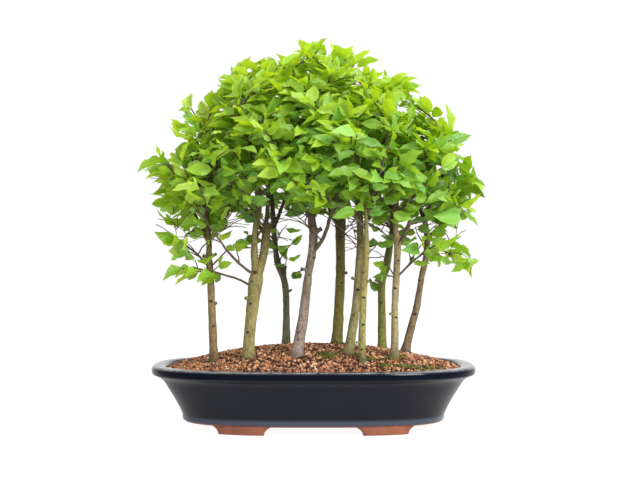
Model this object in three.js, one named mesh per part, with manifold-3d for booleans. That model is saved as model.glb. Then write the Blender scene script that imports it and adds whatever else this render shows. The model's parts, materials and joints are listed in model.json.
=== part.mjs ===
// A nettle tree forest bonsai: ten trees with their leafy branches, in a glazed oval pot
// of gritty soil. Millimetres, +Z up. The origin is the middle of the footprint, at the feet.
import * as THREE from 'three';
import { mergeVertices } from 'three/addons/utils/BufferGeometryUtils.js';
import Module from 'manifold-3d';

const wasm = await Module();
wasm.setup();

// Pot
const POT_HALF_LENGTH = 250;
const POT_HALF_DEPTH = 185;
const POT_SQUARENESS = 2.8;
const RIM_TOP = 97;
const RIM_EDGE = 85;
const POT_UNDERSIDE = 12;
const POT_FLOOR = 21;
const OVAL_STEPS = 32;
const FOOT_X = 107;
const FOOT_HALF_LENGTH = 45;
const FOOT_HALF_WIDTH = 12;
const FOOT_INSET = 60;
const DRAIN_X = 85;
const DRAIN_RADIUS = 12;
const SCREEN_SIZE = 38;
const SCREEN_THICKNESS = 1.2;
const SEAT_GAP = 0.3;

// Soil
const SOIL_EDGE = 91;
const SOIL_RISE = 34;
const SOIL_PEAK_Y = 20;
const SOIL_HALF_LENGTH = 226;
const SOIL_HALF_DEPTH = 161;
const GRAIN_RELIEF = 1.5;
const ROOT_DEPTH = 30;

// Wood
const TRUNK_SIDES = 6;
const LIMB_SIDES = 3;
const BRANCH_STEPS = 5;
const LEAF_TRIES = 10;
const ROUTE_TRIES = 36;
const FLANK = 0.8;
const STALK_HALF = 0.55;

// Crown: an outer shell that the leaf tips reach
const CROWN_CENTRE = new THREE.Vector3(0, 0, 372);
const CROWN_HALF = new THREE.Vector3(272, 196, 232);
const CROWN_LOWER = 105;
const CROWN_ROUNDNESS = 1.65;
const SHELL_SHARE = 0.86;
const SPRAY_COUNT = 32;
const LEAF_THICKNESS = 0.66;
const LEAF_LONG = 46;
const LEAF_SHORT = 34;
const REACH = new THREE.Vector3(275, 204, 604);

// Repeatable draw between 0 and 1, from whole-number keys
function chance(...keys) {
  let h = 2166136261;
  for (const key of keys) {
    h = Math.imul(h ^ key, 16777619) >>> 0;
    h = (h ^ (h >>> 13)) >>> 0;
    h = Math.imul(h, 2246822519) >>> 0;
    h = (h ^ (h >>> 16)) >>> 0;
  }
  return h / 4294967296;
}

const spread = (...keys) => 2 * chance(...keys) - 1;
const vec = (x, y, z) => new THREE.Vector3(x, y, z);
const UP = vec(0, 0, 1);

// Closed geometry to solid, and back to a named mesh
function toSolid(geometry) {
  const bare = geometry.clone();
  bare.deleteAttribute('normal');
  bare.deleteAttribute('uv');
  const welded = mergeVertices(bare, 1e-4);
  const index = welded.index.array;
  const kept = [];
  for (let i = 0; i < index.length; i += 3) {
    const [a, b, c] = [index[i], index[i + 1], index[i + 2]];
    if (a !== b && b !== c && c !== a) kept.push(a, b, c);
  }
  return new wasm.Manifold(new wasm.Mesh({
    numProp: 3,
    vertProperties: new Float32Array(welded.attributes.position.array),
    triVerts: new Uint32Array(kept),
  }));
}

function largestBody(solid) {
  const bodies = solid.decompose();
  return bodies.reduce((best, body) => (body.volume() > best.volume() ? body : best));
}

function toMesh(name, solid, material) {
  const mesh = solid.getMesh();
  const geometry = new THREE.BufferGeometry();
  geometry.setAttribute('position', new THREE.BufferAttribute(mesh.vertProperties, 3));
  geometry.setIndex(new THREE.BufferAttribute(mesh.triVerts, 1));
  geometry.computeVertexNormals();
  const result = new THREE.Mesh(geometry, material);
  result.name = name;
  return result;
}

// Oval outline of the pot, moved in by an inset
function ovalPoint(turn, inset) {
  const power = 2 / POT_SQUARENESS;
  const c = Math.cos(turn);
  const s = Math.sin(turn);
  const x = (POT_HALF_LENGTH - inset) * Math.sign(c) * Math.abs(c) ** power;
  const y = (POT_HALF_DEPTH - inset) * Math.sign(s) * Math.abs(s) ** power;
  return [x, y];
}

// Lathe of [inset, height] points, turned into the pot's oval; the ends lie on the axis
function ovalLathe(profile, raise) {
  const points = profile.map(([inset, z]) => new THREE.Vector2(inset === null ? 0 : 1000 - inset, z));
  const lathe = new THREE.LatheGeometry(points, OVAL_STEPS);
  lathe.rotateX(Math.PI / 2);
  const position = lathe.attributes.position;
  for (let i = 0; i < position.count; i += 1) {
    const x = position.getX(i);
    const y = position.getY(i);
    const radius = Math.hypot(x, y);
    if (radius > 1) {
      const [ox, oy] = ovalPoint(Math.atan2(y, x), 1000 - radius);
      position.setXY(i, ox, oy);
    }
    if (raise) raise(position, i);
  }
  return lathe;
}

function soilHeight(x, y) {
  const depth = SOIL_HALF_DEPTH + (y < SOIL_PEAK_Y ? SOIL_PEAK_Y : -SOIL_PEAK_Y);
  const sum = Math.abs(x / SOIL_HALF_LENGTH) ** POT_SQUARENESS
    + Math.abs((y - SOIL_PEAK_Y) / depth) ** POT_SQUARENESS;
  const radius = Math.min(1, sum ** (1 / POT_SQUARENESS));
  return SOIL_EDGE + SOIL_RISE * (1 - radius * radius);
}

// Pot: outer wall, rounded rim and inner wall in one profile, then feet and drain holes
function makePot() {
  const profile = [
    [null, POT_UNDERSIDE], [54, POT_UNDERSIDE], [47.5, 18], [45.5, 26], [35, 47], [26, 62],
    [18, 75], [2, RIM_EDGE - 1], [0, RIM_EDGE + 3], [0.5, RIM_TOP - 3], [4, RIM_TOP],
    [18, RIM_TOP], [22, RIM_TOP - 3], [30, 70], [44, 46], [62, POT_FLOOR], [null, POT_FLOOR],
  ];
  let pot = toSolid(ovalLathe(profile));
  for (const sideX of [-1, 1]) {
    for (const sideY of [-1, 1]) pot = pot.add(toSolid(footGeometry(sideX, sideY)));
    const drain = new THREE.CylinderGeometry(DRAIN_RADIUS, DRAIN_RADIUS, 4 * POT_FLOOR, 16);
    drain.rotateX(Math.PI / 2);
    drain.translate(sideX * DRAIN_X, 0, POT_FLOOR);
    pot = pot.subtract(toSolid(drain));
  }
  return pot;
}

// Foot: a curved block that follows the oval, narrower where it stands
function footGeometry(sideX, sideY) {
  const box = new THREE.BoxGeometry(2, 2, 1, 6, 1, 1);
  const position = box.attributes.position;
  for (let i = 0; i < position.count; i += 1) {
    const low = position.getZ(i) < 0;
    const along = position.getX(i) * (low ? 0.78 : 1);
    const width = FOOT_HALF_WIDTH * (low ? 0.82 : 1) * (1 - 0.3 * along ** 4);
    const x = FOOT_X + FOOT_HALF_LENGTH * along;
    const share = (x / (POT_HALF_LENGTH - FOOT_INSET)) ** POT_SQUARENESS;
    const centre = (POT_HALF_DEPTH - FOOT_INSET) * (1 - share) ** (1 / POT_SQUARENESS);
    const y = centre + position.getY(i) * width;
    position.setXYZ(i, sideX * x, sideY * y, low ? 0 : POT_UNDERSIDE + 2);
  }
  if (sideX * sideY < 0) {
    const index = box.index.array;
    for (let i = 0; i < index.length; i += 3) [index[i], index[i + 1]] = [index[i + 1], index[i]];
  }
  return box;
}

// Plastic mesh square over a drain hole
function makeScreen(sideX) {
  let sheet = toSolid(new THREE.BoxGeometry(SCREEN_SIZE, SCREEN_SIZE, SCREEN_THICKNESS));
  const opening = SCREEN_SIZE / 2 - 6;
  for (const cx of [-0.25, 0.25]) {
    for (const cy of [-0.25, 0.25]) {
      const cut = new THREE.BoxGeometry(opening, opening, 3 * SCREEN_THICKNESS);
      cut.translate(cx * SCREEN_SIZE, cy * SCREEN_SIZE, 0);
      sheet = sheet.subtract(toSolid(cut));
    }
  }
  const height = POT_FLOOR + SEAT_GAP + SCREEN_THICKNESS / 2;
  return sheet.translate(sideX * DRAIN_X, 0, height);
}

// Soil: fills the pot up to a mound of coarse grains
function makeSoil(holes) {
  const gap = SEAT_GAP + 0.1;
  const profile = [
    [null, POT_FLOOR + gap], [62 + gap, POT_FLOOR + gap], [44 + gap, 46 + gap],
    [30 + gap, 70 + gap], [23.4 + gap, SOIL_EDGE],
  ];
  const rings = [44, 84, 136];
  for (const inset of rings) profile.push([inset, SOIL_EDGE + 1]);
  profile.push([null, SOIL_EDGE + 1]);
  const raise = (position, i) => {
    if (position.getZ(i) <= SOIL_EDGE) return;
    const x = position.getX(i);
    const y = position.getY(i);
    const keys = [Math.round(x * 10) + 5000, Math.round(y * 10) + 5000];
    position.setZ(i, soilHeight(x, y) + GRAIN_RELIEF * spread(...keys));
  };
  let soil = toSolid(ovalLathe(profile, raise));
  for (const sideX of [-1, 1]) {
    const pocket = SCREEN_SIZE + 2 * gap;
    const box = new THREE.BoxGeometry(pocket, pocket, 2 * (SCREEN_THICKNESS + 2 * gap));
    box.translate(sideX * DRAIN_X, 0, POT_FLOOR);
    soil = soil.subtract(toSolid(box));
  }
  for (const hole of holes) soil = soil.subtract(hole);
  return largestBody(soil);
}

// Trees. A stem is a list of [x, y, z, diameter]; a stem after the first starts at a point of
// an earlier one, given as [stem, point]. A stub is a cut twig: [stem, point, towards, length,
// diameter].
const TREES = [
  {
    stems: [
      [[-151, -70, 0, 13.5], [-152, -66, 135, 12.5], [-155, -60, 190, 11.4], [-157, -55, 230, 11],
        [-160, -50, 263, 10], [-160, -47, 285, 8.5], [-165, -45, 335, 7], [-178, -44, 385, 5],
        [-190, -42, 425, 3.2]],
      [[-182, -14, 325, 5.2], [-202, 24, 368, 4.2], [-208, 50, 400, 3]],
      [[-185, -75, 372, 4.5], [-195, -98, 405, 3]],
    ],
    from: [null, [0, 5], [0, 6]],
    stubs: [[0, 4, [1, -0.3, 0.4], 13, 5], [0, 4, [-1, -0.2, 0.2], 10, 5], [0, 2, [1, -0.5, 0.4], 9, 5]],
  },
  {
    stems: [
      [[-98, -78, 0, 19.5], [-97, -78, 141, 17], [-94, -77, 172, 18], [-91, -76, 198, 19.5],
        [-86, -75, 235, 22], [-83, -75, 252, 21]],
      [[-89, -77, 264, 11], [-89, -80, 287, 10], [-86, -84, 315, 9], [-82, -88, 340, 10],
        [-85, -92, 370, 9.5], [-92, -95, 420, 7], [-105, -92, 470, 5], [-112, -88, 505, 3.2]],
      [[-76, -74, 264, 13], [-73, -72, 287, 13], [-70, -68, 314, 13.5]],
      [[-70, -62, 345, 6.5], [-66, -55, 385, 5.5], [-58, -35, 440, 5], [-50, -10, 500, 4],
        [-46, 5, 535, 3]],
      [[-112, -82, 254, 3.6], [-150, -100, 300, 3.2], [-178, -118, 345, 2.8]],
    ],
    from: [null, [0, 4], [0, 4], [2, 1], [0, 4]],
    stubs: [[0, 3, [-1, -0.6, 0.3], 14, 5.5], [1, 2, [-1, -0.3, 0.5], 12, 4.5]],
  },
  {
    stems: [
      [[-44, 72, 0, 14], [-44, 80, 170, 11], [-45, 88, 205, 10.5], [-49, 92, 230, 11],
        [-58, 96, 252, 11], [-62, 99, 275, 9], [-65, 102, 310, 8.5], [-68, 108, 350, 7.5],
        [-76, 114, 400, 6.5], [-86, 118, 450, 5], [-90, 120, 490, 3.2]],
      [[-95, 112, 320, 6], [-130, 122, 365, 5], [-160, 120, 410, 3.2]],
      [[-48, 122, 355, 5.5], [-30, 138, 405, 4.5], [-18, 142, 450, 3]],
    ],
    from: [null, [0, 5], [0, 6]],
    stubs: [[0, 3, [0.15, 0, 1], 19, 6.5], [0, 2, [1, 0, 0.5], 11, 4]],
  },
  {
    stems: [
      [[-25, -80, 0, 19], [-21, -76, 140, 16.5], [-15, -73, 175, 15], [-11, -70, 210, 13.5],
        [-7, -67, 243, 11.5], [-2, -65, 270, 13], [0, -64, 300, 13], [-3, -63, 322, 12],
        [0, -62, 345, 8], [5, -62, 400, 6.5], [1, -56, 470, 5], [5, -45, 535, 3.2]],
      [[12, -75, 288, 6], [24, -85, 318, 5.5], [36, -100, 370, 5], [30, -118, 430, 3.8],
        [25, -125, 470, 3]],
      [[-25, -85, 355, 5.5], [-40, -110, 400, 4.5], [-48, -125, 440, 3]],
    ],
    from: [null, [0, 5], [0, 7]],
    stubs: [[0, 6, [1, -0.3, 0.5], 14, 7], [0, 4, [-1, -0.4, 0.2], 13, 5]],
  },
  {
    stems: [
      [[37, 42, 0, 18.5], [39, 45, 150, 17], [41, 48, 190, 15.5], [43, 51, 235, 15],
        [43, 54, 285, 15], [43, 57, 328, 18]],
      [[33, 57, 345, 9.5], [35, 56, 375, 8.5], [36, 54, 430, 7], [26, 50, 500, 5],
        [30, 42, 553, 3.2]],
      [[58, 75, 365, 8], [66, 98, 410, 6], [62, 120, 455, 4.5], [55, 130, 490, 3]],
    ],
    from: [null, [0, 5], [0, 5]],
    stubs: [[0, 3, [1, -0.5, 0.3], 12, 5]],
  },
  {
    stems: [
      [[52, -65, 0, 18.5], [55, -62, 127, 15.5], [60, -58, 158, 14], [65, -54, 190, 12.5],
        [68, -48, 228, 11.5], [71, -42, 265, 11.5], [72, -36, 300, 10.5], [70, -28, 345, 10.5],
        [68, -22, 375, 10], [66, -18, 420, 8], [74, -15, 480, 6], [80, -10, 530, 3.4]],
      [[88, -48, 385, 6], [105, -70, 430, 5], [112, -85, 480, 3.2]],
    ],
    from: [null, [0, 7]],
    stubs: [[0, 4, [-1, -0.5, 0.3], 11, 5], [0, 6, [-1, -0.3, 0.4], 11, 4.5]],
  },
  {
    stems: [
      [[73, -108, 0, 11], [72, -109, 135, 11.2], [73, -112, 175, 10.5], [75, -116, 225, 10.5],
        [78, -119, 265, 8.8], [78, -121, 303, 7.2], [77, -123, 340, 7]],
      [[70, -128, 385, 5], [60, -134, 430, 4], [52, -132, 465, 3]],
      [[88, -124, 356, 5.2], [102, -128, 400, 4.5], [116, -128, 440, 3]],
    ],
    from: [null, [0, 6], [0, 6]],
    stubs: [[0, 1, [-1, -0.4, 0.2], 9, 4], [0, 3, [1, -0.4, 0.3], 9, 4]],
  },
  {
    stems: [
      [[110, 55, 0, 14.5], [110, 62, 171, 12.8], [110, 69, 221, 12], [117, 73, 245, 13],
        [123, 77, 278, 11], [127, 81, 305, 8.5], [128, 86, 340, 7.5], [130, 91, 378, 7],
        [132, 98, 430, 6], [125, 100, 480, 4.5], [119, 96, 520, 3.2]],
      [[108, 112, 385, 5.5], [92, 132, 425, 4.5], [85, 142, 465, 3]],
      [[155, 110, 415, 5], [178, 118, 450, 3]],
    ],
    from: [null, [0, 6], [0, 7]],
    stubs: [[0, 2, [-1, -0.2, 0.5], 12, 5]],
  },
  {
    stems: [
      [[122, -68, 0, 13], [123, -70, 140, 11.5], [123, -71, 176, 10.8], [124, -73, 210, 10.2],
        [126, -74, 250, 10.3], [127, -76, 280, 10.8], [124, -78, 305, 8], [124, -79, 326, 7.5],
        [128, -82, 370, 6], [136, -84, 420, 5], [146, -78, 470, 3.2]],
      [[138, -74, 297, 6.5], [146, -72, 318, 6], [147, -70, 334, 7], [156, -62, 375, 5],
        [178, -55, 415, 4], [192, -50, 445, 3]],
      [[138, -92, 342, 5], [165, -102, 368, 4.5], [190, -105, 395, 3]],
    ],
    from: [null, [0, 5], [0, 7]],
    stubs: [[0, 2, [-1, -0.5, 0.2], 9, 4.5]],
  },
  {
    stems: [
      [[147, 50, 0, 16.5], [151, 49, 130, 12.5], [158, 47, 158, 12], [164, 45, 180, 11.5],
        [169, 43, 210, 9.8], [173, 41, 235, 9.5], [179, 39, 262, 10], [181, 37, 292, 10],
        [178, 36, 314, 8.5]],
      [[175, 34, 330, 6.5], [188, 32, 350, 6], [202, 28, 385, 5], [212, 22, 425, 4],
        [214, 15, 455, 3]],
      [[202, 44, 312, 5.5], [226, 52, 338, 4.5], [242, 56, 370, 3]],
      [[168, 72, 358, 5.5], [172, 98, 395, 4.2], [180, 108, 420, 3]],
    ],
    from: [null, [0, 8], [0, 7], [0, 8]],
    stubs: [[0, 6, [1, -0.4, 0.3], 10, 4.5]],
  },
];

// Branches of their own place, low ones and the longest to each side: tree, start height, tip
const OWN_BRANCHES = [
  [1, 224, [-196, -92, 246]],
  [0, 240, [-206, -70, 288]],
  [9, 273, [222, 40, 266]],
  [8, 222, [186, -88, 282]],
  [0, 320, [-231, -34, 412]],
  [9, 300, [234, 20, 392]],
];

// Short branches inside the crown, one for each tree
const INNER_BRANCHES = [
  [0, 360, [-150, 12, 412]],
  [1, 400, [-112, -30, 462]],
  [2, 380, [-36, 84, 432]],
  [3, 360, [-28, -18, 424]],
  [4, 410, [4, 24, 486]],
  [5, 390, [36, -52, 446]],
  [6, 330, [104, -96, 396]],
  [7, 380, [88, 44, 446]],
  [8, 360, [150, -24, 424]],
  [9, 370, [166, 28, 436]],
];

// Stems as lists of points with a radius; the first goes down into the soil
function stemPoints(tree) {
  const stems = [];
  tree.stems.forEach((rows, s) => {
    const points = rows.map(([x, y, z, d]) => ({ p: vec(x, y, z), r: d / 2 }));
    if (s === 0) {
      points[0].p.z = soilHeight(points[0].p.x, points[0].p.y);
      const below = points[0].p.clone().addScaledVector(UP, -ROOT_DEPTH);
      points.unshift({ p: below, r: points[0].r * 1.1 });
    } else {
      const [stem, point] = tree.from[s];
      const start = stems[stem][point + 1];
      points.unshift({ p: start.p.clone(), r: Math.min(start.r, points[0].r * 1.3) });
    }
    stems.push(points);
  });
  return stems;
}

// Tube through points with a radius at each: a closed cylinder, bent and tapered
function tubeGeometry(points, sides, grow = 0) {
  const steps = points.length - 1;
  const tube = new THREE.CylinderGeometry(1, 1, 1, sides, steps);
  const frames = [];
  let normal = vec(1, 0, 0);
  points.forEach((point, i) => {
    const before = points[Math.max(0, i - 1)].p;
    const after = points[Math.min(steps, i + 1)].p;
    const tangent = after.clone().sub(before).normalize();
    normal = normal.clone().addScaledVector(tangent, -normal.dot(tangent));
    if (normal.length() < 0.1) normal = vec(0, 1, 0).addScaledVector(tangent, -tangent.y);
    normal.normalize();
    frames.push({ normal, side: normal.clone().cross(tangent), point });
  });
  const position = tube.attributes.position;
  for (let i = 0; i < position.count; i += 1) {
    const frame = frames[Math.round((position.getY(i) + 0.5) * steps)];
    const radius = frame.point.r + grow;
    const place = frame.point.p.clone();
    place.addScaledVector(frame.normal, radius * position.getX(i));
    place.addScaledVector(frame.side, radius * position.getZ(i));
    position.setXYZ(i, place.x, place.y, place.z);
  }
  return tube;
}

// Wood of one tree: trunk, limbs and cut stubs in one body
function treeSolid(tree, grow = 0) {
  const stems = stemPoints(tree);
  let wood = toSolid(tubeGeometry(stems[0], TRUNK_SIDES, grow));
  stems.slice(1).forEach((points) => {
    wood = wood.add(toSolid(tubeGeometry(points, LIMB_SIDES, grow)));
  });
  for (const [stem, point, towards, length, diameter] of tree.stubs) {
    const start = stems[stem][point + 1].p;
    const end = start.clone().addScaledVector(vec(...towards).normalize(), length);
    const stub = [{ p: start, r: diameter / 2 }, { p: end, r: diameter / 2.3 }];
    wood = wood.add(toSolid(tubeGeometry(stub, LIMB_SIDES, grow)));
  }
  return wood;
}

// Smallest distance between a point and a stretch of wood
function stretchDistance(point, stretch) {
  const run = stretch.b.clone().sub(stretch.a);
  const share = point.clone().sub(stretch.a).dot(run) / run.lengthSq();
  return stretch.a.clone().addScaledVector(run, Math.min(1, Math.max(0, share))).distanceTo(point);
}

// Sprays. Targets lie on the crown's shell, evenly by the golden angle
function crownTargets() {
  const targets = OWN_BRANCHES.map(([tree, height, tip]) => ({ tree, height, tip: vec(...tip) }));
  for (let i = 0; i < SPRAY_COUNT; i += 1) {
    const rise = 1 - (i + 0.5) / SPRAY_COUNT * 1.3;
    const flat = Math.sqrt(1 - rise * rise);
    const turn = i * Math.PI * (3 - Math.sqrt(5)) + 0.4;
    const way = vec(flat * Math.cos(turn), flat * Math.sin(turn), rise);
    const high = rise > 0 ? CROWN_HALF.z : CROWN_LOWER;
    const sum = Math.abs(way.x / CROWN_HALF.x) ** CROWN_ROUNDNESS
      + Math.abs(way.y / CROWN_HALF.y) ** CROWN_ROUNDNESS
      + Math.abs(way.z / high) ** CROWN_ROUNDNESS;
    const reach = SHELL_SHARE / sum ** (1 / CROWN_ROUNDNESS);
    targets.push({ tree: null, tip: CROWN_CENTRE.clone().addScaledVector(way, reach) });
  }
  for (const [tree, height, tip] of INNER_BRANCHES) {
    targets.push({ tree, height, tip: vec(...tip), inner: true });
  }
  return targets;
}

// Where a spray leaves its tree: the nearest stem point that lies well below the tip
function rootFor(target, stemsOf, loads) {
  let best = null;
  stemsOf.forEach((stems, tree) => {
    if (target.tree !== null && target.tree !== tree) return;
    stems.forEach((points, stem) => {
      for (let i = 1; i < points.length - 1; i += 1) {
        for (const share of [0, 0.5]) {
          const from = points[i].p.clone().lerp(points[i + 1].p, share);
          const level = Math.hypot(target.tip.x - from.x, target.tip.y - from.y);
          const lift = target.tip.z - from.z;
          const wanted = target.height === undefined ? 0.5 * level + 12 : target.tip.z - target.height;
          const cost = level + 1.4 * Math.abs(lift - wanted) + 9 * loads[tree]
            + (from.z < 275 && target.tree === null ? 200 : 0);
          const r = points[i].r + (points[i + 1].r - points[i].r) * share;
          if (!best || cost < best.cost) best = { cost, tree, stem, from, r };
        }
      }
    });
  });
  return best;
}

// Branch from a root to a tip: it climbs first, then arches over
function branchPoints(from, tip, sway, steps, thick, thin) {
  const run = tip.clone().sub(from);
  const across = run.clone().cross(UP).normalize();
  const knee = from.clone().addScaledVector(run, 0.45)
    .addScaledVector(UP, 0.14 * run.length())
    .addScaledVector(across, sway * 0.2 * run.length());
  const curve = new THREE.QuadraticBezierCurve3(from, knee, tip);
  const points = [];
  for (let i = 0; i <= steps; i += 1) {
    points.push({ p: curve.getPoint(i / steps), r: thick + (thin - thick) * (i / steps) });
  }
  return points;
}

function clearOfWood(points, wood, owner, skip) {
  for (let i = skip; i < points.length; i += 1) {
    const middle = points[i].p.clone().lerp(points[Math.max(0, i - 1)].p, 0.5);
    for (const stretch of wood) {
      if (stretch.owner === owner) continue;
      const room = points[i].r + stretch.r + 2;
      if (stretchDistance(points[i].p, stretch) < room) return false;
      if (i > skip && stretchDistance(middle, stretch) < room) return false;
    }
  }
  return true;
}

function addStretches(wood, points, owner) {
  for (let i = 1; i < points.length; i += 1) {
    wood.push({ a: points[i - 1].p, b: points[i].p, r: points[i - 1].r, owner });
  }
}

// Axes of a twig at one of its points: way to the tip, level side and upper side
function axesAt(points, i) {
  const before = points[Math.max(0, i - 1)].p;
  const after = points[Math.min(points.length - 1, i + 1)].p;
  const way = after.clone().sub(before).normalize();
  const side = way.clone().cross(UP);
  if (side.length() < 0.15) side.set(1, 0, 0).addScaledVector(way, -way.x);
  side.normalize();
  return { way, side, top: side.clone().cross(way) };
}

// Middle of a twig's flank, where a stalk or a side twig leaves it: side is 1 or -1
function flankPlace(points, segment, share, side) {
  const axes = axesAt(points, segment);
  const from = points[segment];
  const to = points[segment + 1];
  const r = from.r + (to.r - from.r) * share;
  const p = from.p.clone().lerp(to.p, share).addScaledVector(axes.side, side * r * FLANK);
  return { p, way: to.p.clone().sub(from.p).normalize(), side: axes.side, r };
}

// A leaf: its stalk end, direction, face normal, length and half width
function leafAt(place, side, keys, length) {
  const turn = side === 0 ? 0.3 * spread(...keys, 1) : side * (1.0 + 0.2 * spread(...keys, 1));
  const way = place.way.clone().multiplyScalar(Math.cos(turn))
    .addScaledVector(place.side, Math.sin(turn));
  const height = (place.p.z - CROWN_CENTRE.z) / CROWN_HALF.z;
  way.z += 0.75 * Math.max(0, height) - 0.12 - 0.38 * chance(...keys, 2);
  way.normalize();
  const outward = place.p.clone().sub(CROWN_CENTRE).normalize();
  const normal = UP.clone().multiplyScalar(0.5).addScaledVector(outward, 0.9);
  normal.addScaledVector(place.side, 0.5 * spread(...keys, 3));
  normal.y += 0.7 * height * spread(...keys, 6);
  normal.addScaledVector(way, -normal.dot(way)).normalize();
  const half = length * (0.25 + 0.03 * spread(...keys, 4));
  return { base: place.p, way, normal, length, half, arch: 0.08 + 0.16 * chance(...keys, 5) };
}

// Outline stations of a leaf blade: [share of length, share of half width]
const PLAIN = [[0.31, 0.97], [0.67, 0.64]];
const TOOTHED = [[0.28, 0.95], [0.6, 0.8], [0.65, 0.5]];
const SKEW = 0.02;
const MIDDLE = 0.42;
const BIG_LEAF = 43.5;

function leafPoint(leaf, along, across, lift) {
  const sideways = leaf.way.clone().cross(leaf.normal);
  const fold = 0.3 * Math.abs(across) * leaf.half;
  const drop = leaf.arch * leaf.length * along * along;
  return leaf.base.clone().addScaledVector(leaf.way, along * leaf.length)
    .addScaledVector(sideways, across * leaf.half)
    .addScaledVector(leaf.normal, fold - drop + lift);
}

// Mesh under way: places and triangles, with rings and faces added to it
class Skin {
  places = [];

  triangles = [];

  add(place) {
    this.places.push(place.x, place.y, place.z);
    return this.places.length / 3 - 1;
  }

  at(i) {
    return vec(...this.places.slice(3 * i, 3 * i + 3));
  }

  quad(a, b, c, d) {
    this.triangles.push(a, b, c, a, c, d);
  }

  // Corners of a loop, turned so that they lie nearest to the wanted places
  matched(loop, wanted) {
    const cost = (turn) => wanted.reduce((sum, place, i) => (
      sum + place.distanceTo(this.at(loop[(i + turn) % 4]))), 0);
    const turn = [0, 1, 2, 3].reduce((best, t) => (cost(t) < cost(best) ? t : best));
    return wanted.map((place, i) => loop[(i + turn) % 4]);
  }

  // Band of four faces between two loops; a face named in taken gets a smaller loop in it
  band(from, to, taken) {
    for (let k = 0; k < 4; k += 1) {
      const n = (k + 1) % 4;
      if (!taken[k]) {
        this.quad(from[k], from[n], to[n], to[k]);
        continue;
      }
      const rim = [from[k], from[n], to[n], to[k]];
      const [a, b, c, d] = rim.map((i) => this.at(i));
      const { share, half } = taken[k];
      const centre = a.clone().lerp(d, share).add(b.clone().lerp(c, share)).multiplyScalar(0.5);
      const down = b.clone().sub(a).normalize();
      const on = d.clone().sub(a).normalize();
      taken[k].loop = [[-1, -1], [1, -1], [1, 1], [-1, 1]].map(([i, j]) => (
        this.add(centre.clone().addScaledVector(down, i * half[0]).addScaledVector(on, j * half[1]))));
      for (let i = 0; i < 4; i += 1) {
        const j = (i + 1) % 4;
        this.quad(rim[i], rim[j], taken[k].loop[j], taken[k].loop[i]);
      }
    }
  }

  // Blade from a loop at the stalk: upper and lower faces split alike, with a rim between
  blade(loop, leaf) {
    const half = LEAF_THICKNESS / 2;
    const root = STALK_HALF / leaf.half;
    const wanted = [[-root, half], [root, half], [root, -half], [-root, -half]];
    const ends = this.matched(loop, wanted.map(([across, lift]) => leafPoint(leaf, 0, across, lift)));
    const place = (along, across) => [half, -half].map((lift) => (
      this.add(leafPoint(leaf, along, across, lift))));
    const stations = leaf.length > BIG_LEAF ? TOOTHED : PLAIN;
    const tip = this.add(leafPoint(leaf, 1, 0, 0));
    const rim = [[ends[1], ends[2]], ...stations.map(([along, across]) => place(along, across)),
      [tip, tip], ...[...stations].reverse().map(([along, across]) => place(along + SKEW, -across)),
      [ends[0], ends[3]]];
    const [upper, lower] = place(MIDDLE, 0);
    rim.forEach(([ut, ub], i) => {
      const [vt, vb] = rim[(i + 1) % rim.length];
      this.triangles.push(upper, ut, vt, lower, vb, ub);
      if (i === rim.length - 1) return;
      if (ut !== ub) this.triangles.push(ut, ub, vb);
      if (vt !== vb) this.triangles.push(ut, vb, vt);
    });
  }

  // Twig from a loop: rings along it, with its leaves and side twigs
  run(start, twig) {
    let loop = start;
    for (let i = start ? 1 : 0; i < twig.points.length; i += 1) {
      const { p, r } = twig.points[i];
      const { side, top } = axesAt(twig.points, i);
      const corners = [[-1, 1], [1, 1], [1, -1], [-1, -1]].map(([s, t]) => (
        p.clone().addScaledVector(side, s * r * FLANK).addScaledVector(top, t * r * FLANK)));
      const ring = corners.map((corner) => this.add(corner));
      if (!loop) {
        this.quad(ring[3], ring[2], ring[1], ring[0]);
      } else {
        const from = i === 1 && start ? this.matched(loop, corners) : loop;
        const taken = {};
        for (const growth of twig.growths.filter(({ segment }) => segment === i - 1)) {
          taken[growth.side > 0 ? 1 : 3] = growth;
        }
        this.band(from, ring, taken);
        for (const growth of Object.values(taken)) {
          if (growth.leaf) this.blade(growth.loop, growth.leaf);
          else this.run(growth.loop, growth.twig);
        }
      }
      loop = ring;
    }
    if (twig.endLeaf) this.blade(loop, twig.endLeaf);
    else this.quad(...loop);
  }

  solid() {
    const geometry = new THREE.BufferGeometry();
    geometry.setAttribute('position', new THREE.BufferAttribute(new Float32Array(this.places), 3));
    geometry.setIndex(this.triangles);
    return toSolid(geometry);
  }
}

// A blade by itself, from a little above its stalk, to test what it would cross
function bladeSolid(leaf, grow) {
  const skin = new Skin();
  const start = { ...leaf, base: leafPoint(leaf, 0.07, 0, 0) };
  const root = 0.2;
  const corners = [[-root, grow], [root, grow], [root, -grow], [-root, -grow]];
  const loop = corners.map(([across, lift]) => skin.add(leafPoint(start, 0, across, lift)));
  skin.quad(loop[3], loop[2], loop[1], loop[0]);
  skin.blade(loop, { ...start, length: 0.95 * leaf.length, half: leaf.half + grow });
  return skin.solid();
}

// Points down the middle of a leaf, each with the room that the blade needs there
function leafRoom(leaf) {
  return [0.2, 0.35, 0.5, 0.65, 0.8, 1].map((along) => {
    const width = along < 0.4 ? along / 0.4 : 1 - (along - 0.4) / 0.6;
    return { p: leafPoint(leaf, along, 0, 0), r: 0.66 * leaf.half * width + 0.8, along };
  });
}

function leafFits(room, spray, taken, wood) {
  for (const spot of room) {
    for (const other of taken) {
      const same = other.spray === spray;
      if (same && spot.along < 0.3 && other.along < 0.3) continue;
      if (spot.p.distanceTo(other.p) < (same ? 0.75 : 1) * (spot.r + other.r)) return false;
    }
    for (const stretch of wood) {
      if (stretch.owner === spray && spot.along < 0.4) continue;
      if (stretchDistance(spot.p, stretch) < 0.8 * spot.r + stretch.r + 0.6) return false;
    }
  }
  return true;
}

const withinReach = (p) => Math.abs(p.x) < REACH.x && Math.abs(p.y) < REACH.y && p.z < REACH.z;

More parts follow.
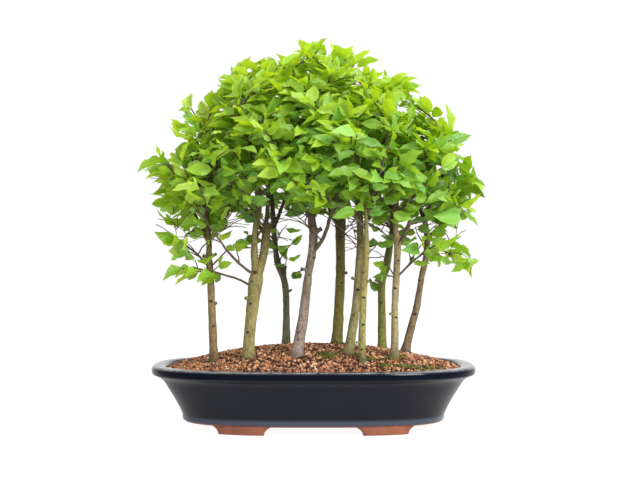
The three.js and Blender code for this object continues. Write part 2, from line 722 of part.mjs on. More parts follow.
const treeStems = TREES.map(stemPoints);
const wood = [];
treeStems.forEach((stems, tree) => {
  stems.forEach((points) => addStretches(wood, points, `tree ${tree}`));
});

// Branches of all sprays come first, then their side twigs find room among them
function growSprays() {
  const loads = TREES.map(() => 0);
  const sprays = [];
  crownTargets().forEach((target, key) => {
    const root = rootFor(target, treeStems, loads);
    for (let attempt = 0; attempt < ROUTE_TRIES; attempt += 1) {
      const sway = (1 + attempt / 12) * spread(key, attempt, 11);
      const thick = Math.min(2.2, 0.8 * root.r);
      const points = branchPoints(root.from, target.tip, sway, BRANCH_STEPS, thick, 1.2);
      if (!clearOfWood(points, wood, null, 2)) continue;
      if (!clearOfWood(points, wood, `tree ${root.tree}`, 0)) continue;
      loads[root.tree] += 1;
      sprays.push({
        key, tree: root.tree, inner: target.inner, points, growths: [], twigs: [],
      });
      addStretches(wood, points, key);
      break;
    }
  });
  for (const spray of sprays) {
    for (const segment of spray.inner ? [2] : [1, 2]) {
      for (let attempt = 0; attempt < 6; attempt += 1) {
        const side = (segment + spray.key + attempt) % 2 === 0 ? 1 : -1;
        const keys = [spray.key, segment, attempt];
        const place = flankPlace(spray.points, segment, 0.5, side);
        const reach = 30 + 18 * chance(...keys, 21);
        const tip = place.p.clone().addScaledVector(place.way, 0.75 * reach)
          .addScaledVector(place.side, side * reach * 0.85)
          .addScaledVector(UP, reach * 0.25 * spread(...keys, 22));
        const middle = place.p.clone().lerp(tip, 0.5).addScaledVector(UP, 1.5);
        const points = [{ p: place.p, r: 1 }, { p: middle, r: 1.1 }, { p: tip, r: 0.95 }];
        if (!clearOfWood(points, wood, spray.key, 0)) continue;
        const twig = { points, growths: [] };
        spray.twigs.push(twig);
        spray.growths.push({ segment, side, share: 0.5, half: [0.5, 0.6], twig });
        addStretches(wood, points, spray.key);
        break;
      }
    }
  }
  return sprays;
}

// Leaves along a run: on alternate flanks of the outer segments, two near the end, one at it
function leafSites(points, first, turn, inner) {
  const sites = [];
  const last = points.length - 2;
  for (let segment = first; segment <= last; segment += 1) {
    const side = (segment + turn) % 2 === 0 ? 1 : -1;
    sites.push({ segment, side, share: 0.4 });
    const paired = first > 1 ? segment >= last - 1 : turn % 2 === 0;
    if (paired && !inner) sites.push({ segment, side: -side, share: 0.75 });
  }
  sites.push({ segment: last, side: 0, share: 1 });
  return sites;
}

// The outermost sprays each end in a leaf whose tip touches the crown's limit on that side
const SIDES = [[-1, 0, 0, REACH.x], [1, 0, 0, REACH.x], [0, -1, 0, REACH.y], [0, 1, 0, REACH.y],
  [0, 0, 1, REACH.z]];

function reachLeaf(spray, sprays) {
  const tipOf = (s) => s.points[s.points.length - 1];
  for (const [x, y, z, limit] of SIDES) {
    const axis = vec(x, y, z);
    const far = Math.max(...sprays.map((s) => tipOf(s).p.dot(axis)));
    if (tipOf(spray).p.dot(axis) < far) continue;
    const base = tipOf(spray).p;
    const way = axis.clone().addScaledVector(z ? vec(0.5, -0.3, 0) : UP, -0.35).normalize();
    const length = (limit - base.dot(axis)) / way.dot(axis);
    const normal = vec(0.3, -0.4, 0.8).addScaledVector(axis, 0.4);
    normal.addScaledVector(way, -normal.dot(way)).normalize();
    return { base, way, normal, length, half: 0.26 * length, arch: 0 };
  }
  return null;
}

function growLeaves(sprays) {
  const taken = [];
  for (const spray of sprays) {
    spray.reach = reachLeaf(spray, sprays);
    if (spray.reach) leafRoom(spray.reach).forEach((spot) => taken.push({ ...spot, spray: spray.key }));
  }
  for (const spray of sprays) {
    spray.blades = [];
    [spray, ...spray.twigs].forEach((run, r) => {
      const first = r === 0 ? 2 : 1;
      leafSites(run.points, first, spray.key + r, spray.inner).forEach((site, i) => {
        const { segment, side, share } = site;
        if (run.growths.some((other) => other.segment === segment && other.side === side)) return;
        const outermost = r === 0 && side === 0 ? spray.reach : null;
        for (let attempt = 0; attempt < LEAF_TRIES; attempt += 1) {
          const keys = [spray.key, r, i, attempt];
          const range = LEAF_SHORT + (LEAF_LONG - LEAF_SHORT) * chance(...keys, 31);
          const length = range * (attempt > LEAF_TRIES / 2 ? 0.75 : 1);
          const place = flankPlace(run.points, segment, share, side);
          const leaf = outermost || leafAt(place, side, keys, length);
          const room = leafRoom(leaf);
          if (!outermost && !room.every((spot) => withinReach(spot.p))) continue;
          if (!outermost && !leafFits(room, spray.key, taken, wood)) continue;
          if (!outermost) room.forEach((spot) => taken.push({ ...spot, spray: spray.key }));
          spray.blades.push({ leaf, run, segment, side, share });
          break;
        }
      });
    });
  }
}

function boxesMeet(a, b) {
  return [0, 1, 2].every((k) => a.min[k] < b.max[k] && b.min[k] < a.max[k]);
}

function runSolids(spray, grow) {
  return [spray, ...spray.twigs].map((run) => {
    const solid = toSolid(tubeGeometry(run.points, LIMB_SIDES, grow));
    return { solid, box: solid.boundingBox(), key: spray.key };
  });
}

// A spray in one skin, without the blades that would cross something, and cut off at its tree
function spraySolid(spray, treeRoom, others) {
  const near = [...others.filter(({ key }) => key !== spray.key), ...runSolids(spray, 0)];
  const order = [...spray.blades].sort((a, b) => (b.leaf === spray.reach) - (a.leaf === spray.reach));
  for (const { leaf, run, segment, side, share } of order) {
    const solid = bladeSolid(leaf, 0.55);
    const box = solid.boundingBox();
    const hit = near.some((other) => boxesMeet(box, other.box)
      && !solid.intersect(other.solid).isEmpty());
    if (hit) continue;
    near.push({ solid: bladeSolid(leaf, 0.4), box });
    if (side === 0) run.endLeaf = leaf;
    else run.growths.push({ segment, side, share, half: [LEAF_THICKNESS / 2, STALK_HALF], leaf });
  }
  const skin = new Skin();
  skin.run(null, spray);
  return largestBody(skin.solid().subtract(treeRoom));
}

const glaze = new THREE.MeshStandardMaterial({ color: 0x141a2e, roughness: 0.25, metalness: 0 });
const grit = new THREE.MeshStandardMaterial({ color: 0x8a5238, roughness: 0.95, metalness: 0 });
const plastic = new THREE.MeshStandardMaterial({ color: 0x20242a, roughness: 0.6, metalness: 0 });
const barks = [0xa58f62, 0xa19a58, 0x6a6a48, 0x9a8478, 0x7c7f42, 0x938a54, 0xa6a352, 0x7a7a44,
  0xb09a66, 0x806a48].map((color) => new THREE.MeshStandardMaterial({
  color, roughness: 0.85, metalness: 0,
}));
const greens = [0x7fbf1e, 0x93cc22, 0x66a81f].map((color) => new THREE.MeshStandardMaterial({
  color, roughness: 0.55, metalness: 0,
}));

const bonsai = new THREE.Group();
const sprays = growSprays();
growLeaves(sprays);

const holes = TREES.map((tree, t) => {
  const points = treeStems[t][0].slice(0, 3).map(({ p, r }) => ({ p: p.clone(), r }));
  points[0].p.z -= SEAT_GAP;
  return toSolid(tubeGeometry(points, TRUNK_SIDES, SEAT_GAP + 0.1));
});
bonsai.add(toMesh('pot', makePot(), glaze));
bonsai.add(toMesh('drain_screen_left', makeScreen(-1), plastic));
bonsai.add(toMesh('drain_screen_right', makeScreen(1), plastic));
bonsai.add(toMesh('soil', makeSoil(holes), grit));

const nodeName = (tree) => `tree_${String(tree + 1).padStart(2, '0')}`;
const placed = [];
TREES.forEach((tree, t) => {
  const solid = treeSolid(tree);
  placed.push({ solid, box: solid.boundingBox() });
  bonsai.add(toMesh(`${nodeName(t)}_wood`, solid, barks[t]));
});
const numbers = TREES.map(() => 0);
for (const spray of sprays) placed.push(...runSolids(spray, 0.6));
for (const spray of sprays) {
  const treeRoom = treeSolid(TREES[spray.tree], SEAT_GAP + 0.1);
  const solid = spraySolid(spray, treeRoom, placed);
  placed.push({ solid, box: solid.boundingBox() });
  numbers[spray.tree] += 1;
  const name = `${nodeName(spray.tree)}_spray_${numbers[spray.tree]}`;
  bonsai.add(toMesh(name, solid, greens[spray.key % greens.length]));
}

export default bonsai;
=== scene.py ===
# %% [markdown]
# A forest bonsai of ten young nettle trees in a glazed oval pot.
# The solids of the part come in first, as a fixed frame. Every piece that is made below goes
# where those solids say, so nothing has to be fitted by eye. Lengths in the tables are in
# millimetres, as a grower or a potter would write them, and become metres in the meshes.

# %% Load the frame
import json
import math
import bmesh
import bpy
import numpy as np
from mathutils import Matrix, Vector

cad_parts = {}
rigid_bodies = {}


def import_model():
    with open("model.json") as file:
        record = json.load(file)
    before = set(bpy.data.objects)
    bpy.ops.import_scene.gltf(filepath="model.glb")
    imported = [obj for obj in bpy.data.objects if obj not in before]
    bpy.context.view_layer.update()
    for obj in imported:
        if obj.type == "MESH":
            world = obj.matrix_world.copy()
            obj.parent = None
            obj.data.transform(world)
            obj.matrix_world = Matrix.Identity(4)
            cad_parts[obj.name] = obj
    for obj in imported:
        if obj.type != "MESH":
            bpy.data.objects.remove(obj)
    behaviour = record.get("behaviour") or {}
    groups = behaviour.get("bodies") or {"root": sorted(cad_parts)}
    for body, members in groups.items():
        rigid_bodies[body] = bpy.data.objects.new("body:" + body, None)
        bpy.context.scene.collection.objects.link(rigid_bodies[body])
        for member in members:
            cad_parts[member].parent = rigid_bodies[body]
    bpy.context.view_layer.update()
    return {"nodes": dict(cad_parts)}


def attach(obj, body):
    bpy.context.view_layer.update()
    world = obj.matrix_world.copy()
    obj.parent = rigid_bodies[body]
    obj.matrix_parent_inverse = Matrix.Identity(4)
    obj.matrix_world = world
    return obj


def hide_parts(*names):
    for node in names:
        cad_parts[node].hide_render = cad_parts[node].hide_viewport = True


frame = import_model()
MM = 0.001
print("solids in the frame:", len(frame["nodes"]))

# %% [markdown]
# The camera stands a little over two metres away, below half the height of the trees, which is
# how such a tree is usually photographed: a long lens keeps the trunks upright. The camera
# comes first, because every later choice is looked at through it. Its lens is given as the
# distance at which one pixel of a picture of this width would cover one unit.

# %% Camera
SENSOR, PICTURE_WIDTH, FOCAL_PIXELS = 36, 625, 1406
lens = bpy.data.cameras.new("camera")
lens.lens = SENSOR * FOCAL_PIXELS / PICTURE_WIDTH
lens.clip_end = 50
camera = bpy.data.objects.new("camera", lens)
camera.location = (0, -2.2, 0.263)
camera.rotation_euler = (math.radians(90.754), 0, math.radians(0.041))
bpy.context.scene.collection.objects.link(camera)
bpy.context.scene.camera = camera
bpy.context.scene.view_settings.view_transform = "Standard"
print("lens in millimetres:", round(lens.lens, 1))

# %% [markdown]
# Studio light: a white room gives the even light, a soft panel above makes the thin leaves
# glow, and a stronger one in front on the right lights the leaves that face the
# camera, models the trunks and draws the line of light on the rim of the pot.

# %% World and lights
world = bpy.data.worlds.new("white_room")
world.use_nodes = True
world.node_tree.nodes["Background"].inputs["Color"].default_value = (1, 1, 1, 1)
world.node_tree.nodes["Background"].inputs["Strength"].default_value = 1.0
bpy.context.scene.world = world


def soft_panel(name, place, aim, size, power):
    """A square panel of light at a place, turned towards another."""
    panel = bpy.data.lights.new(name, "AREA")
    panel.shape = "SQUARE"
    panel.size = size
    panel.energy = power
    lamp = bpy.data.objects.new(name, panel)
    lamp.location = place
    lamp.rotation_euler = (Vector(aim) - Vector(place)).to_track_quat("-Z", "Y").to_euler()
    bpy.context.scene.collection.objects.link(lamp)


soft_panel("panel_above", (0.25, 0.2, 2.0), (0, 0, 0.4), 1.1, 22)
soft_panel("panel_front", (1.5, -1.75, 1.35), (0, 0, 0.3), 0.9, 68)
print("lights:", len(bpy.data.lights))

# %% [markdown]
# Shader sums read better as sums. This small class holds a socket of a node, and the usual
# signs on it add Math nodes. The reflected forms let a plain number stand first, as in
# 1 - mask. Everything that is not a sum comes from the one method `node`.

# %% A socket that can be added and multiplied
class Wire:
    def __init__(self, recipe, socket):
        self.recipe = recipe
        self.socket = socket

    def sum(self, operation, first, second):
        return self.recipe.node("ShaderNodeMath", {"operation": operation}, {0: first, 1: second})

    def __add__(self, other):
        return self.sum("ADD", self, other)

    def __radd__(self, other):
        return self.sum("ADD", other, self)

    def __sub__(self, other):
        return self.sum("SUBTRACT", self, other)

    def __rsub__(self, other):
        return self.sum("SUBTRACT", other, self)

    def __mul__(self, other):
        return self.sum("MULTIPLY", self, other)

    def __rmul__(self, other):
        return self.sum("MULTIPLY", other, self)

    def __truediv__(self, other):
        return self.sum("DIVIDE", self, other)

    def __rtruediv__(self, other):
        return self.sum("DIVIDE", other, self)

    def __pow__(self, other):
        return self.sum("POWER", self, other)

    def size(self):
        return self.sum("ABSOLUTE", self, 0)

    def largest(self, other):
        return self.sum("MAXIMUM", self, other)

    def smallest(self, other):
        return self.sum("MINIMUM", self, other)

    def part_of_turn(self):
        return self.sum("FRACT", self, 0)

    def held(self):
        return self.smallest(1).largest(0)


# %% A recipe for one material
class Recipe:
    def __init__(self, name):
        self.material = bpy.data.materials.new(name)
        self.material.use_nodes = True
        self.tree = self.material.node_tree
        self.tree.nodes.clear()

    def node(self, kind, settings=None, inputs=None, out=0):
        made = self.tree.nodes.new(kind)
        for key, value in (settings or {}).items():
            if key == "stops":
                while len(made.color_ramp.elements) < len(value):
                    made.color_ramp.elements.new(0.5)
                for stop, (place, colour) in zip(made.color_ramp.elements, value):
                    stop.position = place
                    stop.color = (*colour, 1)
            else:
                setattr(made, key, value)
        for key, value in (inputs or {}).items():
            if isinstance(value, Wire):
                self.tree.links.new(value.socket, made.inputs[key])
            elif isinstance(value, tuple) and len(value) == 3 and made.inputs[key].type == "RGBA":
                made.inputs[key].default_value = (*value, 1)
            else:
                made.inputs[key].default_value = value
        return Wire(self, made.outputs[out])

    def place(self):
        return self.node("ShaderNodeTexCoord", out="Object")

    def along(self, axis, vector):
        return self.node("ShaderNodeSeparateXYZ", inputs={0: vector}, out=axis)

    def stretched(self, vector, scale):
        return self.node("ShaderNodeMapping", inputs={"Vector": vector, "Scale": scale})

    def noise(self, vector, scale, detail=3.0, roughness=0.55):
        values = {"Vector": vector, "Scale": scale, "Detail": detail, "Roughness": roughness}
        return self.node("ShaderNodeTexNoise", inputs=values)

    def blend(self, share, first, second):
        inputs = {0: share, 6: first, 7: second}
        return self.node("ShaderNodeMix", {"data_type": "RGBA"}, inputs, out=2)

    def ramp(self, value, stops):
        return self.node("ShaderNodeValToRGB", {"stops": stops}, {0: value})

    def bump(self, height, strength, distance):
        values = {"Height": height, "Strength": strength, "Distance": distance}
        return self.node("ShaderNodeBump", inputs=values)

    def finish(self, shader):
        end = self.tree.nodes.new("ShaderNodeOutputMaterial")
        self.tree.links.new(shader.socket, end.inputs["Surface"])
        return self.material


def srgb(red, green, blue):
    """A colour as it is read off a screen, from 0 to 255, made linear for the shader."""
    def linear(value):
        value /= 255
        return value / 12.92 if value <= 0.04045 else ((value + 0.055) / 1.055) ** 2.4
    return linear(red), linear(green), linear(blue)


# %% [markdown]
# The glaze is a thick navy one, nearly black, over a brown clay, and a darker navy on the lip.
# Towards the two ends, most of all on the right, it turns brown: a painted reflection. It is
# wiped from the lowest edge before firing, so the clay stays bare there. A pale line along the
# outer edge of the rim is a painted highlight, found from how near a point is to the pot's oval,
# and a lighter blue band just above the base is a painted reflection of the floor. A very weak
# bump gives the slight orange peel of a fired glaze, which breaks the reflections up.

# %% Glaze
POT_HALF = (250, 185)
SQUARENESS = 2.8


def make_glaze():
    r = Recipe("navy_glaze")
    place = r.place()
    x = r.along(0, place)
    y = r.along(1, place)
    z = r.along(2, place)
    cloud = r.noise(place, 22.0)
    fine = r.noise(place, 160.0)
    left = ((-0.13 - x) * 12.0).held()
    # Browner towards the two ends, most on the right: a painted reflection.
    end_reflection_tint = ((x - 0.12) * 7.0).held() + left * 0.3
    end_reflection_tint = end_reflection_tint * (cloud * 1.3 - 0.1).held()
    colour = r.blend(cloud, srgb(14, 16, 24), srgb(20, 22, 32))
    colour = r.blend(end_reflection_tint * 0.7, colour, srgb(44, 38, 32))
    lip = ((z - 0.0835) * 300.0).held()
    colour = r.blend(lip, colour, srgb(4, 7, 22))
    wide, deep = (half * MM for half in POT_HALF)
    outward = (x.size() / wide) ** SQUARENESS + (y.size() / deep) ** SQUARENESS
    outward = outward ** (1 / SQUARENESS)
    # A pale line on the outer top edge of the rim: a painted highlight.
    rim_highlight = ((z - 0.0945) * 600.0).held() * ((outward - 0.976) * 90.0).held()
    rim_highlight = rim_highlight * (cloud * 2.2 + fine * 1.8 - 1.4).held()
    colour = r.blend(rim_highlight * 0.6, colour, srgb(170, 172, 178))
    edge = ((z - 0.0925) * 500.0).held()
    # A lighter blue band just above the base: a painted reflection of the floor.
    base = ((0.0245 - z) * 200.0).held()
    colour = r.blend(base * 0.7, colour, srgb(62, 68, 84))
    roughness = 0.36 - lip * 0.24 + (fine - 0.5) * 0.08
    bump = r.bump(cloud + fine * 0.25, 0.10, 0.002)
    gloss = 0.26 - lip * 0.24 - left * 0.16 + base * (1 - left) * 0.36
    gloss = (gloss + edge * (0.2 + cloud * 0.6)).held()
    values = {"Base Color": colour, "Roughness": roughness, "Normal": bump,
              "Specular IOR Level": 0.05, "Coat Roughness": 0.18, "Coat Weight": gloss}
    return r.finish(r.node("ShaderNodeBsdfPrincipled", inputs=values))


def make_clay():
    r = Recipe("bare_clay")
    place = r.place()
    fine = r.noise(place, 420.0)
    cloud = r.noise(place, 35.0)
    colour = r.blend((cloud * 2.0 - 0.5).held(), srgb(144, 82, 58), srgb(108, 62, 46))
    colour = r.blend((fine * 2.4 - 1.1).held() * 0.5, colour, srgb(78, 44, 34))
    bump = r.bump(fine, 0.35, 0.0008)
    values = {"Base Color": colour, "Roughness": 0.85, "Normal": bump}
    return r.finish(r.node("ShaderNodeBsdfPrincipled", inputs=values))


glaze = make_glaze()
clay = make_clay()
print("pot finishes:", glaze.name, clay.name)

# %% [markdown]
# The soil is a mix of baked clay, lava and pumice grains, three to six millimetres across. Each
# grain has one colour of its own, so the shader reads a number that every grain carries, and a
# ramp turns it into red-brown for most grains, tan for some and nearly black for a few.

# %% Grit, soil and moss
def make_grit():
    r = Recipe("baked_clay_grit")
    place = r.place()
    tone = r.node("ShaderNodeAttribute", {"attribute_name": "tone"}, out=2)
    stops = [(0.0, srgb(20, 13, 10)), (0.22, srgb(54, 32, 23)), (0.38, srgb(130, 81, 54)),
             (0.78, srgb(184, 126, 86)), (0.93, srgb(216, 166, 122)), (1.0, srgb(230, 196, 156))]
    fine = r.noise(place, 900.0)
    colour = r.blend((fine * 1.8 - 0.6).held() * 0.5, r.ramp(tone, stops), srgb(96, 56, 38))
    bump = r.bump(fine, 0.5, 0.0006)
    values = {"Base Color": colour, "Roughness": 0.92, "Normal": bump}
    return r.finish(r.node("ShaderNodeBsdfPrincipled", inputs=values))


def make_shaded_soil_bed():
    # The bed under the grains is dark to stand for the shade in the gaps between them: painted
    # shade.
    r = Recipe("painted_shade_between_grains")
    fine = r.noise(r.place(), 260.0)
    colour = r.blend(fine, srgb(26, 16, 12), srgb(58, 35, 25))
    values = {"Base Color": colour, "Roughness": 0.95, "Normal": r.bump(fine, 0.6, 0.002)}
    return r.finish(r.node("ShaderNodeBsdfPrincipled", inputs=values))


def make_moss():
    r = Recipe("moss")
    tone = r.node("ShaderNodeAttribute", {"attribute_name": "tone"}, out=2)
    stops = [(0.0, srgb(44, 42, 14)), (0.5, srgb(98, 96, 36)), (1.0, srgb(150, 140, 66))]
    fine = r.noise(r.place(), 1200.0)
    values = {"Base Color": r.ramp(tone, stops), "Roughness": 0.9,
              "Normal": r.bump(fine, 0.6, 0.0008)}
    return r.finish(r.node("ShaderNodeBsdfPrincipled", inputs=values))


def make_plastic():
    r = Recipe("mesh_plastic")
    fine = r.noise(r.place(), 500.0)
    colour = r.blend(fine, srgb(28, 30, 34), srgb(46, 50, 56))
    values = {"Base Color": colour, "Roughness": 0.5 + fine * 0.15,
              "Normal": r.bump(fine, 0.15, 0.0005)}
    return r.finish(r.node("ShaderNodeBsdfPrincipled", inputs=values))


grit = make_grit()
soil_bed = make_shaded_soil_bed()
moss = make_moss()
plastic = make_plastic()
for name in ["drain_screen_left", "drain_screen_right"]:
    screen = frame["nodes"][name]
    screen.data.materials.clear()
    screen.data.materials.append(plastic)
print("soil finishes:", grit.name, soil_bed.name, moss.name)

# %% [markdown]
# Bark of a young nettle tree is smooth, with long blotches that run up the stem, fine cracks
# and pale breathing pores. Each trunk in this forest has its own colour, from tan to olive, and
# all get darker up in the crown. One recipe takes the colours of a tree, so ten trees need ten
# short lines.

# %% Bark
BARKS = [
    ((130, 110, 74), (96, 82, 48), (62, 50, 34), 0.55),
    ((142, 132, 84), (104, 96, 52), (72, 62, 38), 0.5),
    ((106, 102, 80), (78, 74, 58), (54, 48, 38), 0.4),
    ((140, 124, 114), (104, 88, 72), (66, 50, 42), 1.0),
    ((120, 112, 54), (92, 84, 42), (60, 52, 30), 0.5),
    ((134, 124, 82), (100, 94, 54), (66, 56, 36), 0.5),
    ((146, 140, 82), (112, 104, 56), (76, 64, 38), 0.5),
    ((124, 122, 56), (92, 88, 46), (60, 54, 32), 0.5),
    ((156, 142, 104), (116, 102, 66), (80, 66, 44), 0.5),
    ((136, 116, 90), (104, 86, 64), (62, 48, 36), 0.75),
]


def make_bark(name, low, high, fleck, roughness):
    r = Recipe(name)
    place = r.place()
    z = r.along(2, place)
    blotch = r.noise(r.stretched(place, (1.0, 1.0, 0.28)), 150.0, 4.0)
    flakes = r.noise(r.stretched(place, (1.0, 1.0, 0.6)), 330.0, 4.0)
    patch = r.noise(r.stretched(place, (1.0, 1.0, 0.5)), 38.0, 2.0)
    pores = r.noise(r.stretched(place, (1.0, 1.0, 2.4)), 360.0, 2.0)
    climb = ((z - 0.17) * 7.0 + (patch - 0.5) * 1.6).held()
    colour = r.blend(climb, srgb(*low), srgb(*high))
    pale = srgb(*[min(255, c + 30) for c in low])
    colour = r.blend((0.9 - blotch * 2.4).held() * 0.6, colour, pale)
    colour = r.blend((blotch * 3.6 - 1.7).held() * 0.6, colour, srgb(*fleck))
    colour = r.blend((flakes * 6.0 - 3.0).held() * (0.35 + 0.5 * roughness), colour, srgb(*fleck))
    colour = r.blend((2.1 - flakes * 5.0).held() * 0.6, colour, pale)
    green = srgb(low[0] * 0.72, low[1] * 0.86, low[2] * 0.5)
    colour = r.blend((patch * 3.2 - 1.7).held() * 0.45, colour, green)
    colour = r.blend((pores * 6.0 - 3.8).held() * 0.5, colour, pale)
    foot = ((0.128 - z) * 55.0 + (patch - 0.5) * 2.0).held()
    colour = r.blend(foot * 0.5, colour, srgb(62, 52, 32))
    dark = ((z - 0.29) * 9.0 + (patch - 0.5) * 0.8).held()
    colour = r.blend(dark * 0.75, colour, srgb(54, 42, 30))
    height = blotch * 0.6 + flakes * 0.5 + pores * 0.3
    values = {"Base Color": colour, "Roughness": 0.72 + flakes * 0.2,
              "Normal": r.bump(height, 0.3 + 0.5 * roughness, 0.0016), "Specular IOR Level": 0.3}
    return r.finish(r.node("ShaderNodeBsdfPrincipled", inputs=values))


def make_plain_wood(name, light, dark, scale):
    r = Recipe(name)
    place = r.place()
    fine = r.noise(place, scale)
    colour = r.blend(fine, srgb(*dark), srgb(*light))
    values = {"Base Color": colour, "Roughness": 0.8, "Normal": r.bump(fine, 0.4, 0.001)}
    return r.finish(r.node("ShaderNodeBsdfPrincipled", inputs=values))


barks = [make_bark(f"bark_{i + 1:02d}", *colours) for i, colours in enumerate(BARKS)]
cut_wood = make_plain_wood("healed_cut", (100, 78, 54), (54, 38, 26), 420.0)
scar_wood = make_plain_wood("twig_scar", (58, 42, 30), (24, 17, 13), 500.0)
twig_bark = make_plain_wood("twig_bark", (96, 76, 54), (48, 36, 27), 260.0)
limb_bark = make_plain_wood("limb_bark", (100, 86, 60), (50, 41, 30), 120.0)
print("barks:", len(barks))

# %% [markdown]
# A leaf is thin enough for light to come through it, which is why the crown glows where the
# light is behind it. A shader for that mixes a surface that reflects with one that lets light
# through. The veins follow each leaf, so they are drawn on the leaf's own map: its first number
# runs from stalk to tip, its second from edge to edge, and the side veins leave the middle one
# at a slant. Young leaves are yellow-green, shaded ones darker and a little blue.

# %% Leaves
def make_leaf(name, dark, light, through, share):
    r = Recipe(name)
    chart = r.node("ShaderNodeUVMap", {"uv_map": "leaf_map"})
    u = r.along(0, chart)
    v = r.along(1, chart)
    tone = r.node("ShaderNodeAttribute", {"attribute_name": "tone"}, out=2)
    across = (v - 0.5).size() * 2.0
    cloud = r.noise(r.place(), 60.0)
    colour = r.blend((tone * 0.8 + cloud * 0.5 - 0.12).held(), srgb(*dark), srgb(*light))
    cool = ((tone * 7.0).part_of_turn() * 4.0 - 2.8).held()
    cooler = srgb(light[0] * 0.7, light[1] * 0.94, min(255, light[2] * 1.8))
    colour = r.blend(cool * 0.5, colour, cooler)
    middle = (1 - across * 11.0).held()
    wave = (u * 8.0 - across * 1.6).part_of_turn()
    side = (1 - (wave - 0.5).size() * 9.0).held() * (1 - across * 0.7)
    vein = middle.largest(side * 0.6)
    colour = r.blend(vein * 0.35, colour, srgb(*[min(255, c + 46) for c in light]))
    rim = ((across - 0.86) * 8.0).held()
    colour = r.blend(rim * 0.28, colour, srgb(*[min(255, c + 40) for c in light]))
    quilt = (wave - 0.5).size() * 1.2 - middle
    values = {"Base Color": colour, "Roughness": 0.34 + cloud * 0.12,
              "Normal": r.bump(quilt, 0.35, 0.0012), "Specular IOR Level": 0.5}
    front = r.node("ShaderNodeBsdfPrincipled", inputs=values)
    back = r.node("ShaderNodeBsdfTranslucent", inputs={"Color": srgb(*through)})
    return r.finish(r.node("ShaderNodeMixShader", inputs={0: share, 1: front, 2: back}))


# Lit and shaded copies of one leaf, partly the leaf's age and partly painted light and shade: the
# first lit and young, the second half lit, the third in shade.
lit_young_leaf = make_leaf("lit_young_leaf", (104, 150, 20), (176, 206, 66), (194, 222, 20), 0.38)
half_lit_full_leaf = make_leaf("half_lit_full_leaf", (58, 110, 14), (150, 192, 54), (166, 208, 14), 0.36)
shade_leaf = make_leaf("shade_leaf", (32, 64, 14), (124, 164, 50), (128, 172, 12), 0.3)
print("leaf finishes:", lit_young_leaf.name, half_lit_full_leaf.name, shade_leaf.name)

# %% [markdown]
# Every new piece is shaped in a bmesh and then becomes an object that stands at the origin,
# with its place in its mesh. It rides on the one body of this part, takes its finishes, and may
# stand for solids of the frame.

# %% From a bmesh to a piece
def as_piece(name, bm, finishes, nodes=(), smooth=True):
    mesh = bpy.data.meshes.new(name)
    for face in bm.faces:
        face.smooth = smooth
    bm.to_mesh(mesh)
    bm.free()
    for finish in finishes:
        mesh.materials.append(finish)
    piece = bpy.data.objects.new(name, mesh)
    bpy.context.scene.collection.objects.link(piece)
    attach(piece, "root")
    if nodes:
        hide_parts(*nodes)
    print(name, "faces:", len(mesh.polygons))
    return piece


# %% [markdown]
# The pot is an oval with full ends. A potter presses such a pot in a mould, so one profile runs
# all the way round. Here one oval ring is extruded along that profile, and each new ring is
# scaled, which is the same as moving the wall in by the same amount at the ends and the sides.
# The rows are how far in and how high a ring lies. They are close together at the lip and the
# base, where the glaze and the sponge round every edge.

# %% Pot
POT_PROFILE = [
    (54, 12), (51, 12.6), (48.2, 14.5), (47.2, 16.6), (47, 18.5), (47.4, 22), (45.8, 25.5),
    (42.5, 33), (38.2, 41), (35, 47), (30.2, 55), (25.8, 62), (21.6, 69), (17.6, 75),
    (12, 79.6), (6, 82.4), (2, 84), (0.4, 86), (0, 88), (0, 91), (0.5, 94), (1.8, 96.2),
    (4, 97), (9, 97), (18, 97), (20.6, 96.2), (22, 94), (24.5, 86), (30, 70), (37, 57),
    (44, 46), (62, 21),
]
BARE_BELOW = 15
DRAIN_X = 85


def oval(turn):
    """A point of the pot's outline at its widest, for a turn round the middle."""
    c, s = math.cos(turn), math.sin(turn)
    x = POT_HALF[0] * math.copysign(abs(c) ** (2 / SQUARENESS), c)
    y = POT_HALF[1] * math.copysign(abs(s) ** (2 / SQUARENESS), s)
    return x, y


def next_ring(bm, edges):
    """Extrudes a ring of edges, and gives the new corners, edges and faces."""
    grown = bmesh.ops.extrude_edge_only(bm, edges=edges)["geom"]
    ring = [g for g in grown if isinstance(g, bmesh.types.BMVert)]
    known = set(ring)
    edges = [g for g in grown if isinstance(g, bmesh.types.BMEdge)
             and g.verts[0] in known and g.verts[1] in known]
    return ring, edges, [g for g in grown if isinstance(g, bmesh.types.BMFace)]


def run_round(bm, sides, profile):
    """Runs a profile round the pot's oval, and gives the edges of each ring."""
    ring = bmesh.ops.create_circle(bm, segments=sides, radius=1)["verts"]
    for i, v in enumerate(ring):
        x, y = oval(math.tau * i / len(ring))
        v.co = Vector((x, y, 0)) * MM
    edges = list(bm.edges)
    inset, level = 0, 0
    rings = []
    for step, (new_inset, new_level) in enumerate(profile):
        if step:
            ring, edges, _ = next_ring(bm, edges)
        wide = [(half - new_inset) / (half - inset) for half in POT_HALF]
        bmesh.ops.scale(bm, vec=(*wide, 1), verts=ring)
        bmesh.ops.translate(bm, vec=(0, 0, (new_level - level) * MM), verts=ring)
        inset, level = new_inset, new_level
        rings.append(edges)
    return rings


def make_pot():
    bm = bmesh.new()
    rings = run_round(bm, 160, POT_PROFILE)
    bmesh.ops.holes_fill(bm, edges=rings[0], sides=0)
    bmesh.ops.holes_fill(bm, edges=rings[-1], sides=0)
    bmesh.ops.recalc_face_normals(bm, faces=list(bm.faces))
    for face in bm.faces:
        low = face.calc_center_median().z < BARE_BELOW * MM
        face.material_index = 1 if low and face.normal.z < 0.5 else 0
    return bm


